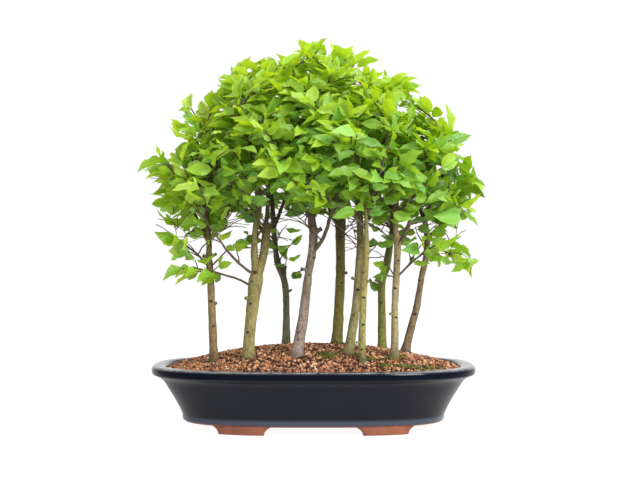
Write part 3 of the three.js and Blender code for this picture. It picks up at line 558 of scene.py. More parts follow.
def drill(piece, x):
    """Bores one drain hole through the floor of the pot."""
    bm = bmesh.new()
    bmesh.ops.create_cone(bm, cap_ends=True, segments=32, radius1=0.012, radius2=0.012, depth=0.04)
    bmesh.ops.translate(bm, vec=(x * MM, 0, 0.0165), verts=list(bm.verts))
    mesh = bpy.data.meshes.new("bore")
    bm.to_mesh(mesh)
    bm.free()
    tool = bpy.data.objects.new("bore", mesh)
    bpy.context.scene.collection.objects.link(tool)
    cut = piece.modifiers.new("drain", "BOOLEAN")
    cut.operation = "DIFFERENCE"
    cut.solver = "EXACT"
    cut.object = tool
    graph = bpy.context.evaluated_depsgraph_get()
    bored = bpy.data.meshes.new_from_object(piece.evaluated_get(graph))
    piece.modifiers.clear()
    piece.data = bored
    bpy.data.objects.remove(tool)


pot = as_piece("pot_body", make_pot(), [glaze, clay], ["pot"])
drill(pot, -DRAIN_X)
drill(pot, DRAIN_X)
print("pot faces after boring:", len(pot.data.polygons))

# %% [markdown]
# The pot stands on four clay feet that follow its outline. One is made and mirrored twice: a
# block whose middle line lies on a smaller oval. It is narrower where it stands, so that it can
# be pulled from the mould, its ends flare into the base, and its lower edges are rounded by the
# sponge.

# %% Feet
FOOT_X, FOOT_HALF_LENGTH, FOOT_HALF_WIDTH, FOOT_INSET, FOOT_TOP = 107, 45, 12, 60, 13


def make_feet():
    bm = bmesh.new()
    bmesh.ops.create_cube(bm, size=2)
    long_edges = [e for e in bm.edges if abs(e.verts[0].co.x - e.verts[1].co.x) > 1]
    bmesh.ops.subdivide_edges(bm, edges=long_edges, cuts=9, use_grid_fill=True)
    upright = [e for e in bm.edges if abs(e.verts[0].co.z - e.verts[1].co.z) > 1]
    bmesh.ops.subdivide_edges(bm, edges=upright, cuts=4, use_grid_fill=True)
    for v in bm.verts:
        lift = (v.co.z + 1) / 2
        along = v.co.x * (0.76 + 0.24 * lift ** 2.5)
        width = FOOT_HALF_WIDTH * (0.82 + 0.18 * lift) * (1 - 0.3 * along ** 4)
        x = FOOT_X + FOOT_HALF_LENGTH * along
        share = (x / (POT_HALF[0] - FOOT_INSET)) ** SQUARENESS
        middle = (POT_HALF[1] - FOOT_INSET) * (1 - share) ** (1 / SQUARENESS)
        v.co = Vector((x, middle + v.co.y * width, FOOT_TOP * lift)) * MM
    rims = [e for e in bm.edges if e.calc_face_angle(0) > 0.6 and
            max(v.co.z for v in e.verts) < 0.001]
    bmesh.ops.bevel(bm, geom=rims, offset=0.0013, affect="EDGES", segments=3, profile=0.5,
                    material=-1)
    for axis in ("X", "Y"):
        bmesh.ops.mirror(bm, geom=[*bm.verts, *bm.edges, *bm.faces], axis=axis, merge_dist=0)
    bmesh.ops.recalc_face_normals(bm, faces=list(bm.faces))
    return bm


feet = as_piece("pot_feet", make_feet(), [clay], ["pot"])

# %% [markdown]
# The draw below gives the same numbers on every run, from whole-number keys. The solids were
# grown with the same draw, so every main branch and its leaves come out at the same place here.

# %% A repeatable draw
DRAW_START, DRAW_STEP, DRAW_MIX, WORD = 2166136261, 16777619, 2246822519, 0xFFFFFFFF


def chance(*keys):
    """A number from 0 to 1 that depends on the keys alone."""
    h = DRAW_START
    for key in keys:
        h = ((h ^ (key & WORD)) * DRAW_STEP) & WORD
        h ^= h >> 13
        h = (h * DRAW_MIX) & WORD
        h ^= h >> 16
    return h / (WORD + 1)


def spread(*keys):
    """A number from -1 to 1."""
    return 2 * chance(*keys) - 1


print("first draws:", round(chance(1), 4), round(spread(1, 2), 4))

# %% [markdown]
# The soil is raised to a low mound, highest behind the middle, as the grower heaps it round the
# root balls. It is run round the same oval as the pot, with many rings across its top, which
# are then lifted to the mound and roughened a little; the grains on it are real ones.

# %% Soil bed
SOIL_HALF = (226, 161)
SOIL_EDGE, SOIL_RISE, SOIL_PEAK_Y = 91, 34, 20


def soil_share(x, y):
    depth = SOIL_HALF[1] + (SOIL_PEAK_Y if y < SOIL_PEAK_Y else -SOIL_PEAK_Y)
    total = abs(x / SOIL_HALF[0]) ** SQUARENESS + abs((y - SOIL_PEAK_Y) / depth) ** SQUARENESS
    return total ** (1 / SQUARENESS)


def soil_height(x, y):
    radius = min(1, soil_share(x, y))
    return SOIL_EDGE + SOIL_RISE * (1 - radius * radius)


def make_soil():
    bm = bmesh.new()
    profile = [(62.5, 21.5), (44.5, 46.5), (30.5, 70), (23.9, 90.5)]
    profile += [(23.9 + 160.5 * (k / 22) ** 1.15, 91) for k in range(1, 23)]
    rings = run_round(bm, 96, profile)
    bmesh.ops.holes_fill(bm, edges=rings[-1], sides=0)
    bmesh.ops.holes_fill(bm, edges=rings[0], sides=0)
    for i, v in enumerate(bm.verts):
        if v.co.z > 0.0905:
            x, y = v.co.x / MM, v.co.y / MM
            v.co.z = (soil_height(x, y) - 1.2 + 0.5 * spread(i, 61)) * MM
    bmesh.ops.recalc_face_normals(bm, faces=list(bm.faces))
    return bm


soil = as_piece("soil_bed", make_soil(), [soil_bed], ["soil"])

# %% [markdown]
# Thousands of grains and tufts are copies of one small shape. The bmesh is doubled until there
# are enough copies, the surplus is deleted, and each copy gets a matrix of its own and a number
# called tone, which its colour is read from.

# %% Many copies of one shape
def many(template, matrices, tones):
    bm = template
    size = len(bm.verts)
    while len(bm.verts) < size * len(matrices):
        bmesh.ops.duplicate(bm, geom=[*bm.verts, *bm.edges, *bm.faces])
    bm.verts.ensure_lookup_table()
    bmesh.ops.delete(bm, geom=bm.verts[size * len(matrices):], context="VERTS")
    bm.verts.ensure_lookup_table()
    layer = bm.verts.layers.float.new("tone")
    for k, (matrix, tone) in enumerate(zip(matrices, tones)):
        for v in bm.verts[k * size:(k + 1) * size]:
            v.co = matrix @ v.co
            v[layer] = tone
    return bm


def tumbled(place, sizes, *keys):
    """A matrix that sets a shape down at a place, in any turn, with three sizes."""
    turn = Matrix.Rotation(math.tau * chance(*keys, 1), 4, "X")
    turn = turn @ Matrix.Rotation(math.tau * chance(*keys, 2), 4, "Y")
    turn = turn @ Matrix.Rotation(math.tau * chance(*keys, 3), 4, "Z")
    return Matrix.Translation(place) @ turn @ Matrix.Diagonal((*sizes, 1))


# %% [markdown]
# The trees. Each has stems, as rows of place and diameter, and stubs where a twig was cut off:
# stem, point, direction, length and diameter. A later stem leaves an earlier one at a point.
# These are the same numbers that the solids were made from.

# %% Trees
TREES = [
  {
    "stems": [
      [[-151, -70, 0, 13.5], [-152, -66, 135, 12.5], [-155, -60, 190, 11.4], [-157, -55, 230, 11],
        [-160, -50, 263, 10], [-160, -47, 285, 8.5], [-165, -45, 335, 7], [-178, -44, 385, 5],
        [-190, -42, 425, 3.2]],
      [[-182, -14, 325, 5.2], [-202, 24, 368, 4.2], [-208, 50, 400, 3]],
      [[-185, -75, 372, 4.5], [-195, -98, 405, 3]],
    ],
    "from": [None, [0, 5], [0, 6]],
    "stubs": [[0, 4, [1, -0.3, 0.4], 13, 5], [0, 4, [-1, -0.2, 0.2], 10, 5],
              [0, 2, [1, -0.5, 0.4], 9, 5]],
  },
  {
    "stems": [
      [[-98, -78, 0, 19.5], [-97, -78, 141, 17], [-94, -77, 172, 18], [-91, -76, 198, 19.5],
        [-86, -75, 235, 22], [-83, -75, 252, 21]],
      [[-89, -77, 264, 11], [-89, -80, 287, 10], [-86, -84, 315, 9], [-82, -88, 340, 10],
        [-85, -92, 370, 9.5], [-92, -95, 420, 7], [-105, -92, 470, 5], [-112, -88, 505, 3.2]],
      [[-76, -74, 264, 13], [-73, -72, 287, 13], [-70, -68, 314, 13.5]],
      [[-70, -62, 345, 6.5], [-66, -55, 385, 5.5], [-58, -35, 440, 5], [-50, -10, 500, 4],
        [-46, 5, 535, 3]],
      [[-112, -82, 254, 3.6], [-150, -100, 300, 3.2], [-178, -118, 345, 2.8]],
    ],
    "from": [None, [0, 4], [0, 4], [2, 1], [0, 4]],
    "stubs": [[0, 3, [-1, -0.6, 0.3], 14, 5.5], [1, 2, [-1, -0.3, 0.5], 12, 4.5]],
  },
  {
    "stems": [
      [[-44, 72, 0, 14], [-44, 80, 170, 11], [-45, 88, 205, 10.5], [-49, 92, 230, 11],
        [-58, 96, 252, 11], [-62, 99, 275, 9], [-65, 102, 310, 8.5], [-68, 108, 350, 7.5],
        [-76, 114, 400, 6.5], [-86, 118, 450, 5], [-90, 120, 490, 3.2]],
      [[-95, 112, 320, 6], [-130, 122, 365, 5], [-160, 120, 410, 3.2]],
      [[-48, 122, 355, 5.5], [-30, 138, 405, 4.5], [-18, 142, 450, 3]],
    ],
    "from": [None, [0, 5], [0, 6]],
    "stubs": [[0, 3, [0.15, 0, 1], 19, 6.5], [0, 2, [1, 0, 0.5], 11, 4]],
  },
  {
    "stems": [
      [[-25, -80, 0, 19], [-21, -76, 140, 16.5], [-15, -73, 175, 15], [-11, -70, 210, 13.5],
        [-7, -67, 243, 11.5], [-2, -65, 270, 13], [0, -64, 300, 13], [-3, -63, 322, 12],
        [0, -62, 345, 8], [5, -62, 400, 6.5], [1, -56, 470, 5], [5, -45, 535, 3.2]],
      [[12, -75, 288, 6], [24, -85, 318, 5.5], [36, -100, 370, 5], [30, -118, 430, 3.8],
        [25, -125, 470, 3]],
      [[-25, -85, 355, 5.5], [-40, -110, 400, 4.5], [-48, -125, 440, 3]],
    ],
    "from": [None, [0, 5], [0, 7]],
    "stubs": [[0, 6, [1, -0.3, 0.5], 14, 7], [0, 4, [-1, -0.4, 0.2], 13, 5]],
  },
  {
    "stems": [
      [[37, 42, 0, 18.5], [39, 45, 150, 17], [41, 48, 190, 15.5], [43, 51, 235, 15],
        [43, 54, 285, 15], [43, 57, 328, 18]],
      [[33, 57, 345, 9.5], [35, 56, 375, 8.5], [36, 54, 430, 7], [26, 50, 500, 5],
        [30, 42, 553, 3.2]],
      [[58, 75, 365, 8], [66, 98, 410, 6], [62, 120, 455, 4.5], [55, 130, 490, 3]],
    ],
    "from": [None, [0, 5], [0, 5]],
    "stubs": [[0, 3, [1, -0.5, 0.3], 12, 5]],
  },
  {
    "stems": [
      [[52, -65, 0, 18.5], [55, -62, 127, 15.5], [60, -58, 158, 14], [65, -54, 190, 12.5],
        [68, -48, 228, 11.5], [71, -42, 265, 11.5], [72, -36, 300, 10.5], [70, -28, 345, 10.5],
        [68, -22, 375, 10], [66, -18, 420, 8], [74, -15, 480, 6], [80, -10, 530, 3.4]],
      [[88, -48, 385, 6], [105, -70, 430, 5], [112, -85, 480, 3.2]],
    ],
    "from": [None, [0, 7]],
    "stubs": [[0, 4, [-1, -0.5, 0.3], 11, 5], [0, 6, [-1, -0.3, 0.4], 11, 4.5]],
  },
  {
    "stems": [
      [[73, -108, 0, 11], [72, -109, 135, 11.2], [73, -112, 175, 10.5], [75, -116, 225, 10.5],
        [78, -119, 265, 8.8], [78, -121, 303, 7.2], [77, -123, 340, 7]],
      [[70, -128, 385, 5], [60, -134, 430, 4], [52, -132, 465, 3]],
      [[88, -124, 356, 5.2], [102, -128, 400, 4.5], [116, -128, 440, 3]],
    ],
    "from": [None, [0, 6], [0, 6]],
    "stubs": [[0, 1, [-1, -0.4, 0.2], 9, 4], [0, 3, [1, -0.4, 0.3], 9, 4]],
  },
  {
    "stems": [
      [[110, 55, 0, 14.5], [110, 62, 171, 12.8], [110, 69, 221, 12], [117, 73, 245, 13],
        [123, 77, 278, 11], [127, 81, 305, 8.5], [128, 86, 340, 7.5], [130, 91, 378, 7],
        [132, 98, 430, 6], [125, 100, 480, 4.5], [119, 96, 520, 3.2]],
      [[108, 112, 385, 5.5], [92, 132, 425, 4.5], [85, 142, 465, 3]],
      [[155, 110, 415, 5], [178, 118, 450, 3]],
    ],
    "from": [None, [0, 6], [0, 7]],
    "stubs": [[0, 2, [-1, -0.2, 0.5], 12, 5]],
  },
  {
    "stems": [
      [[122, -68, 0, 13], [123, -70, 140, 11.5], [123, -71, 176, 10.8], [124, -73, 210, 10.2],
        [126, -74, 250, 10.3], [127, -76, 280, 10.8], [124, -78, 305, 8], [124, -79, 326, 7.5],
        [128, -82, 370, 6], [136, -84, 420, 5], [146, -78, 470, 3.2]],
      [[138, -74, 297, 6.5], [146, -72, 318, 6], [147, -70, 334, 7], [156, -62, 375, 5],
        [178, -55, 415, 4], [192, -50, 445, 3]],
      [[138, -92, 342, 5], [165, -102, 368, 4.5], [190, -105, 395, 3]],
    ],
    "from": [None, [0, 5], [0, 7]],
    "stubs": [[0, 2, [-1, -0.5, 0.2], 9, 4.5]],
  },
  {
    "stems": [
      [[147, 50, 0, 16.5], [151, 49, 130, 12.5], [158, 47, 158, 12], [164, 45, 180, 11.5],
        [169, 43, 210, 9.8], [173, 41, 235, 9.5], [179, 39, 262, 10], [181, 37, 292, 10],
        [178, 36, 314, 8.5]],
      [[175, 34, 330, 6.5], [188, 32, 350, 6], [202, 28, 385, 5], [212, 22, 425, 4],
        [214, 15, 455, 3]],
      [[202, 44, 312, 5.5], [226, 52, 338, 4.5], [242, 56, 370, 3]],
      [[168, 72, 358, 5.5], [172, 98, 395, 4.2], [180, 108, 420, 3]],
    ],
    "from": [None, [0, 8], [0, 7], [0, 8]],
    "stubs": [[0, 6, [1, -0.4, 0.3], 10, 4.5]],
  },
]

OWN_BRANCHES = [
    (1, 224, (-196, -92, 246)), (0, 240, (-206, -70, 288)), (9, 273, (222, 40, 266)),
    (8, 222, (186, -88, 282)), (0, 320, (-231, -34, 412)), (9, 300, (234, 20, 392)),
]
INNER_BRANCHES = [
    (0, 360, (-150, 12, 412)), (1, 400, (-112, -30, 462)), (2, 380, (-36, 84, 432)),
    (3, 360, (-28, -18, 424)), (4, 410, (4, 24, 486)), (5, 390, (36, -52, 446)),
    (6, 330, (104, -96, 396)), (7, 380, (88, 44, 446)), (8, 360, (150, -24, 424)),
    (9, 370, (166, 28, 436)),
]
UP = Vector((0, 0, 1))
ROOT_DEPTH = 30


def stem_points(tree):
    """The stems of a tree as lists of place and radius, in millimetres."""
    stems = []
    for s, rows in enumerate(tree["stems"]):
        points = [(Vector((x, y, z)), d / 2) for x, y, z, d in rows]
        if s == 0:
            foot, r = points[0]
            foot.z = soil_height(foot.x, foot.y)
            points.insert(0, (foot - ROOT_DEPTH * UP, r * 1.1))
        else:
            stem, point = tree["from"][s]
            start, r = stems[stem][point + 1]
            points.insert(0, (start.copy(), min(r, points[0][1] * 1.3)))
        stems.append(points)
    return stems


tree_stems = [stem_points(tree) for tree in TREES]
print("stems:", sum(len(stems) for stems in tree_stems))

# %% [markdown]
# Grit fills the pot's mouth, about five grains to a square centimetre. They lie a little deep
# in the bed, and none is put where a trunk stands.

# %% Grains
GRAIN_STEP = 4.5


def free_of_trunks(x, y, room):
    for stems in tree_stems:
        foot, r = stems[0][1]
        if math.hypot(x - foot.x, y - foot.y) < r + room:
            return False
    return True


def grain_places():
    places = []
    rows = int(2 * POT_HALF[1] / GRAIN_STEP)
    columns = int(2 * POT_HALF[0] / GRAIN_STEP)
    for j in range(rows):
        for i in range(columns):
            x = -POT_HALF[0] + GRAIN_STEP * (i + 0.5 * (j % 2)) + 1.5 * spread(i, j, 1)
            y = -POT_HALF[1] + GRAIN_STEP * j + 1.5 * spread(i, j, 2)
            share = (abs(x / 227.5) ** SQUARENESS + abs(y / 162.5) ** SQUARENESS)
            if share < 1 and free_of_trunks(x, y, 0.5):
                places.append((x, y, i, j))
    return places


def make_grains():
    template = bmesh.new()
    bmesh.ops.create_icosphere(template, subdivisions=1, radius=1)
    for i, v in enumerate(template.verts):
        v.co *= 1 + 0.22 * spread(i, 7)
    matrices, tones = [], []
    for x, y, i, j in grain_places():
        size = 1.9 + 1.5 * chance(i, j, 3) ** 2
        z = soil_height(x, y) - 0.4 + 0.9 * spread(i, j, 4)
        sizes = [size * (1 + 0.25 * spread(i, j, 10 + k)) * MM for k in range(3)]
        matrices.append(tumbled(Vector((x, y, z)) * MM, sizes, i, j))
        tones.append(chance(i, j, 5))
    return many(template, matrices, tones)


grains = as_piece("soil_grains", make_grains(), [grit], ["soil"], smooth=False)

# %% [markdown]
# Moss grows where the soil stays wet: in the middle, at the foot of a trunk on the right, and
# along the rim at the front right. A patch is a crowd of small pointed tufts.

# %% Moss
MOSS_PATCHES = [(22, -84, 17, 18), (86, -96, 9, 8), (116, -82, 9, 9), (132, -116, 12, 6),
                (152, -112, 13, 7), (172, -104, 12, 7), (104, -121, 10, 5), (134, -58, 8, 6),
                (38, 34, 15, 13), (-24, -70, 8, 5), (188, -92, 7, 6), (66, -80, 7, 6)]


def make_moss_tufts():
    template = bmesh.new()
    bmesh.ops.create_cone(template, cap_ends=True, segments=5, radius1=1, radius2=0.2, depth=1.6)
    matrices, tones = [], []
    for k, (cx, cy, wide, deep) in enumerate(MOSS_PATCHES):
        for n in range(int(wide * deep * 1.1)):
            far = math.sqrt((n + 0.5) / (wide * deep * 1.1))
            turn = n * 2.39996 + k
            edge = 1 + 0.25 * math.sin(3 * turn + k)
            x = cx + wide * far * edge * math.cos(turn) + 0.6 * spread(k, n, 1)
            y = cy + deep * far * edge * math.sin(turn) + 0.6 * spread(k, n, 2)
            size = (1.0 + 0.5 * chance(k, n, 3)) * MM
            z = soil_height(x, y) + 1.6 + 2.6 * (1 - far * far) + 0.6 * spread(k, n, 6)
            lean = Matrix.Rotation(0.5 * spread(k, n, 4), 4, "X")
            lean = lean @ Matrix.Rotation(0.5 * spread(k, n, 5), 4, "Y")
            place = Matrix.Translation(Vector((x, y, z)) * MM)
            matrices.append(place @ lean @ Matrix.Scale(size, 4))
            tones.append(chance(k, n, 7))
    return many(template, matrices, tones)


tufts = as_piece("moss_patches", make_moss_tufts(), [moss])

# %% [markdown]
# A stem is a round tube through its points. A circle is laid at the first point, and its edge
# is extruded from point to point, each ring turned so that the tube does not twist. Points from
# a smooth curve through the table's rows keep it from looking like a folded pipe.

# %% Stems as tubes
def smooth_points(points, steps):
    """Points on a smooth curve through the given ones, with the radius between them too."""
    fine = []
    for i in range(len(points) - 1):
        p0, p1 = points[max(0, i - 1)][0], points[i][0]
        p2, p3 = points[i + 1][0], points[min(len(points) - 1, i + 2)][0]
        for k in range(steps):
            t = k / steps
            place = 0.5 * ((2 * p1) + (p2 - p0) * t + (2 * p0 - 5 * p1 + 4 * p2 - p3) * t * t
                           + (3 * p1 - p0 - 3 * p2 + p3) * t ** 3)
            ease = t * t * (3 - 2 * t)
            fine.append((place, points[i][1] + (points[i + 1][1] - points[i][1]) * ease))
    fine.append(points[-1])
    return fine


def ring_frames(points):
    """A matrix for each ring: its place, the way it faces and its radius."""
    frames = []
    normal = Vector((1, 0, 0))
    for i, (place, radius) in enumerate(points):
        way = (points[min(len(points) - 1, i + 1)][0] - points[max(0, i - 1)][0]).normalized()
        normal = normal - normal.dot(way) * way
        if normal.length < 0.1:
            normal = Vector((0, 1, 0)) - way.y * way
        normal.normalize()
        turn = Matrix((normal, way.cross(normal), way)).transposed().to_4x4()
        size = Matrix.Scale(radius * MM, 4)
        frames.append(Matrix.Translation(place * MM) @ turn @ size)
    return frames


def tube(bm, points, sides, skin=0, end=None):
    """Adds a closed tube; skin and end are the finishes of its side and of its far end."""
    frames = ring_frames(points)
    ring = bmesh.ops.create_circle(bm, cap_ends=True, segments=sides, radius=1)["verts"]
    bmesh.ops.transform(bm, matrix=frames[0], verts=ring)
    edges = list({e for v in ring for e in v.link_edges})
    faces = list({f for v in ring for f in v.link_faces})
    for before, after in zip(frames, frames[1:]):
        ring, edges, walls = next_ring(bm, edges)
        faces += walls
        bmesh.ops.transform(bm, matrix=after @ before.inverted(), verts=ring)
    lid = bmesh.ops.holes_fill(bm, edges=edges, sides=0)["faces"]
    for face in faces:
        face.material_index = skin
    for face in lid:
        face.material_index = skin if end is None else end
    bmesh.ops.recalc_face_normals(bm, faces=faces + lid)
    return faces + lid


# %% [markdown]
# The wood of a tree is all its stems and stubs. The trunk widens a little where it enters the
# soil. Stems that were cut off to shorten the tree end in a flat, healed face, and the others
# thin out to a shoot. Old twigs left small dark scars on the trunk, given here by tree, height,
# place across the trunk and size.

# %% Wood
SCARS = [
    (0, 196, -0.05, 2.6), (0, 158, 0.25, 2.0), (0, 236, 0.3, 1.8), (1, 193, -0.3, 2.4),
    (1, 150, -0.35, 2.3), (1, 240, -0.25, 3.0), (1, 226, -0.5, 2.0), (2, 214, -0.6, 1.8),
    (3, 150, -0.5, 1.6), (3, 236, 0.2, 1.8), (3, 262, 0.75, 3.0), (4, 294, 0.0, 3.0),
    (4, 262, -0.4, 1.8), (4, 222, 0.4, 2.0), (5, 213, 0.1, 2.8), (5, 175, -0.3, 1.6),
    (6, 203, 0.0, 2.3), (6, 163, 0.2, 2.2), (6, 126, -0.2, 2.0), (6, 240, -0.5, 1.6),
    (7, 240, 0.1, 2.2), (7, 190, -0.2, 1.8), (8, 172, 0.3, 2.0), (8, 216, -0.2, 2.2),
    (8, 258, 0.4, 1.8), (9, 172, 0.0, 2.6), (9, 255, 0.2, 2.2), (9, 226, -0.5, 1.8),
    (9, 300, 0.1, 3.0),
]
CUT_STEMS = {(1, 2), (4, 0), (9, 0)}


def trunk_at(points, height):
    """The middle and radius of a trunk at a height."""
    for (low, r0), (high, r1) in zip(points, points[1:]):
        if low.z <= height <= high.z:
            t = (height - low.z) / (high.z - low.z)
            return low.lerp(high, t), r0 + (r1 - r0) * t
    return points[-1]


def crooked(points, amount, *keys):
    """The same run with its inner points moved a little, as twigs turn at every old bud."""
    rows = []
    for i, (p, r) in enumerate(points):
        inner = 0 < i < len(points) - 1
        bend = Vector((spread(*keys, i, 44), spread(*keys, i, 45), spread(*keys, i, 46)))
        rows.append((p + bend * amount * inner, r))
    return rows


def pointed(points):
    """The same run, thinned towards its end as a growing shoot is."""
    last = len(points) - 1
    return [(p, r * (1 - 0.6 * max(0, 1 - (last - i) / 6))) for i, (p, r) in enumerate(points)]


def make_wood(t):
    tree, stems = TREES[t], tree_stems[t]
    bm = bmesh.new()
    for s, points in enumerate(stems):
        if s == 0:
            fine = smooth_points(points, 5)
            soil_z = points[1][0].z
            fine = [(p, r * (1 + 0.14 * math.exp(-max(0, p.z - soil_z) / 9)
                             + 0.035 * spread(t, i, 41))) for i, (p, r) in enumerate(fine)]
            fine = fine if (t, s) in CUT_STEMS else pointed(fine)
            tube(bm, fine, 16, end=1 if (t, s) in CUT_STEMS else None)
        else:
            skin = 0 if points[1][1] > 5 else 3
            fine = smooth_points(points, 4)
            fine = [(p, r * (1 + 0.05 * spread(t, s, i, 42))) for i, (p, r) in enumerate(fine)]
            if skin:
                fine = crooked(fine, 0.9, t, s)
            fine = fine if (t, s) in CUT_STEMS else pointed(fine)
            tube(bm, fine, 10, skin, end=1 if (t, s) in CUT_STEMS else None)
    for stem, point, towards, length, diameter in tree["stubs"]:
        start = stems[stem][point + 1][0]
        way = Vector(towards).normalized()
        rows = [(0, 0.75), (0.45, 0.6), (0.6, 0.5), (0.85, 0.46), (1, 0.5)]
        points = [(start + way * length * a, diameter * b) for a, b in rows]
        tube(bm, points, 9, end=1)
    for v in bm.verts:
        k = v.index
        v.co += v.normal * 0.25 * MM * spread(t, k, 43)
    for tree_number, height, across, size in SCARS:
        if tree_number != t:
            continue
        middle, radius = trunk_at(stems[0], height)
        out = Vector((across, -math.sqrt(1 - across * across), 0))
        made = bmesh.ops.create_uvsphere(bm, u_segments=9, v_segments=5, radius=1)["verts"]
        turn = out.to_track_quat("Z", "Y").to_matrix().to_4x4()
        place = Matrix.Translation((middle + out * (radius - 0.15)) * MM)
        sizes = Matrix.Diagonal((size * 1.2 * MM, size * 0.8 * MM, 1.1 * MM, 1))
        bmesh.ops.transform(bm, matrix=place @ turn @ sizes, verts=made)
        for face in {f for v in made for f in v.link_faces}:
            face.material_index = 2
    return bm


for t in range(len(TREES)):
    name = f"tree_{t + 1:02d}_trunk"
    as_piece(name, make_wood(t), [barks[t], cut_wood, scar_wood, limb_bark],
             [f"tree_{t + 1:02d}_wood"])

# %% [markdown]
# The crown is grown, not placed leaf by leaf. Twig tips aim at points spread evenly over an
# outer shell by the golden angle. Each branch leaves its tree at the cheapest point below its
# tip, climbs, and arches over. A branch that would pass through other wood tries another bend.
# The rule and the draws are those of the solids, so the main branches coincide with them.

# %% Crown shell
CROWN_CENTRE = Vector((0, 0, 372))
CROWN_HALF = Vector((272, 196, 232))
CROWN_LOWER = 105
CROWN_ROUNDNESS = 1.65
REACH = Vector((275, 204, 604))
SHELL_SHARE = 0.86
SPRAY_COUNT = 32
BRANCH_STEPS = 5
ROUTE_TRIES = 36


def shell_sum(way):
    high = CROWN_HALF.z if way.z > 0 else CROWN_LOWER
    return sum(abs(a / b) ** CROWN_ROUNDNESS
               for a, b in zip(way, (CROWN_HALF.x, CROWN_HALF.y, high)))


def crown_share(place):
    """0 in the middle of the crown, 1 on its outer shell."""
    return shell_sum(place - CROWN_CENTRE) ** (1 / CROWN_ROUNDNESS)


def shell_tips(count, share, start, cover=1.3):
    tips = []
    for i in range(count):
        rise = 1 - (i + 0.5) / count * cover
        flat = math.sqrt(1 - rise * rise)
        turn = i * math.pi * (3 - math.sqrt(5)) + start
        way = Vector((flat * math.cos(turn), flat * math.sin(turn), rise))
        tips.append(CROWN_CENTRE + way * share / shell_sum(way) ** (1 / CROWN_ROUNDNESS))
    return tips


def branch_points(start, tip, sway, steps, thick, thin):
    run = tip - start
    across = run.cross(UP).normalized()
    knee = start + 0.45 * run + 0.14 * run.length * UP + sway * 0.2 * run.length * across
    points = []
    for i in range(steps + 1):
        t = i / steps
        place = (1 - t) ** 2 * start + 2 * (1 - t) * t * knee + t * t * tip
        points.append((place, thick + (thin - thick) * t))
    return points


# %% Wood that growth keeps clear of
class Thicket:
    """Every stretch of wood so far, with its radius and owner; trees are -1, -2 and so on."""
    def __init__(self):
        self.a = np.zeros((9000, 3))
        self.run = np.zeros((9000, 3))
        self.r = np.zeros(9000)
        self.owner = np.zeros(9000, int)
        self.count = 0

    def add(self, points, owner):
        for (a, r), (b, _) in zip(points, points[1:]):
            n = self.count
            self.a[n], self.run[n], self.r[n], self.owner[n] = a, b - a, r, owner
            self.count += 1

    def gaps(self, place):
        n = self.count
        a, run = self.a[:n], self.run[:n]
        off = np.array(place) - a
        share = np.clip((off * run).sum(1) / (run * run).sum(1), 0, 1)
        return np.linalg.norm(off - run * share[:, None], axis=1)

    def clear(self, points, owner, skip, margin=2.0):
        kept = self.owner[:self.count] != owner if owner is not None else slice(None)
        for i in range(skip, len(points)):
            place, r = points[i]
            if (self.gaps(place)[kept] < r + self.r[:self.count][kept] + margin).any():
                return False
            middle = (place + points[max(0, i - 1)][0]) / 2
            if i > skip and (self.gaps(middle)[kept] < r + self.r[:self.count][kept]
                             + margin).any():
                return False
        return True


thicket = Thicket()
for t, stems in enumerate(tree_stems):
    for points in stems:
        thicket.add(points, -1 - t)
print("stretches of trunk and limb:", thicket.count)

# %% [markdown]
# Side twigs and leaves leave a twig from the middle of its flank. The place they leave from has
# a way, a level side and a radius, which is all that they need to know.

# %% Flanks
FLANK = 0.8


def axes_at(points, i):
    way = points[min(len(points) - 1, i + 1)][0] - points[max(0, i - 1)][0]
    way.normalize()
    side = way.cross(UP)
    if side.length < 0.15:
        side = Vector((1, 0, 0)) - way.x * way
    return way, side.normalized()


def flank_place(points, segment, share, side):
    _, level = axes_at(points, segment)
    (a, ra), (b, rb) = points[segment], points[segment + 1]
    r = ra + (rb - ra) * share
    return {"p": a.lerp(b, share) + level * side * r * FLANK, "way": (b - a).normalized(),
            "side": level, "r": r}


def root_for(tip, tree, height, loads):
    best = None
    for t, stems in enumerate(tree_stems):
        if tree is not None and tree != t:
            continue
        for points in stems:
            for i in range(1, len(points) - 1):
                for share in (0, 0.5):
                    start = points[i][0].lerp(points[i + 1][0], share)
                    level = math.hypot(tip.x - start.x, tip.y - start.y)
                    lift = tip.z - start.z
                    wanted = 0.5 * level + 12 if height is None else tip.z - height
                    cost = level + 1.4 * abs(lift - wanted) + 9 * loads[t]
                    cost += 200 if start.z < 275 and tree is None else 0
                    if best is None or cost < best[0]:
                        r = points[i][1] + (points[i + 1][1] - points[i][1]) * share
                        best = (cost, t, start, r)
    return best[1:]


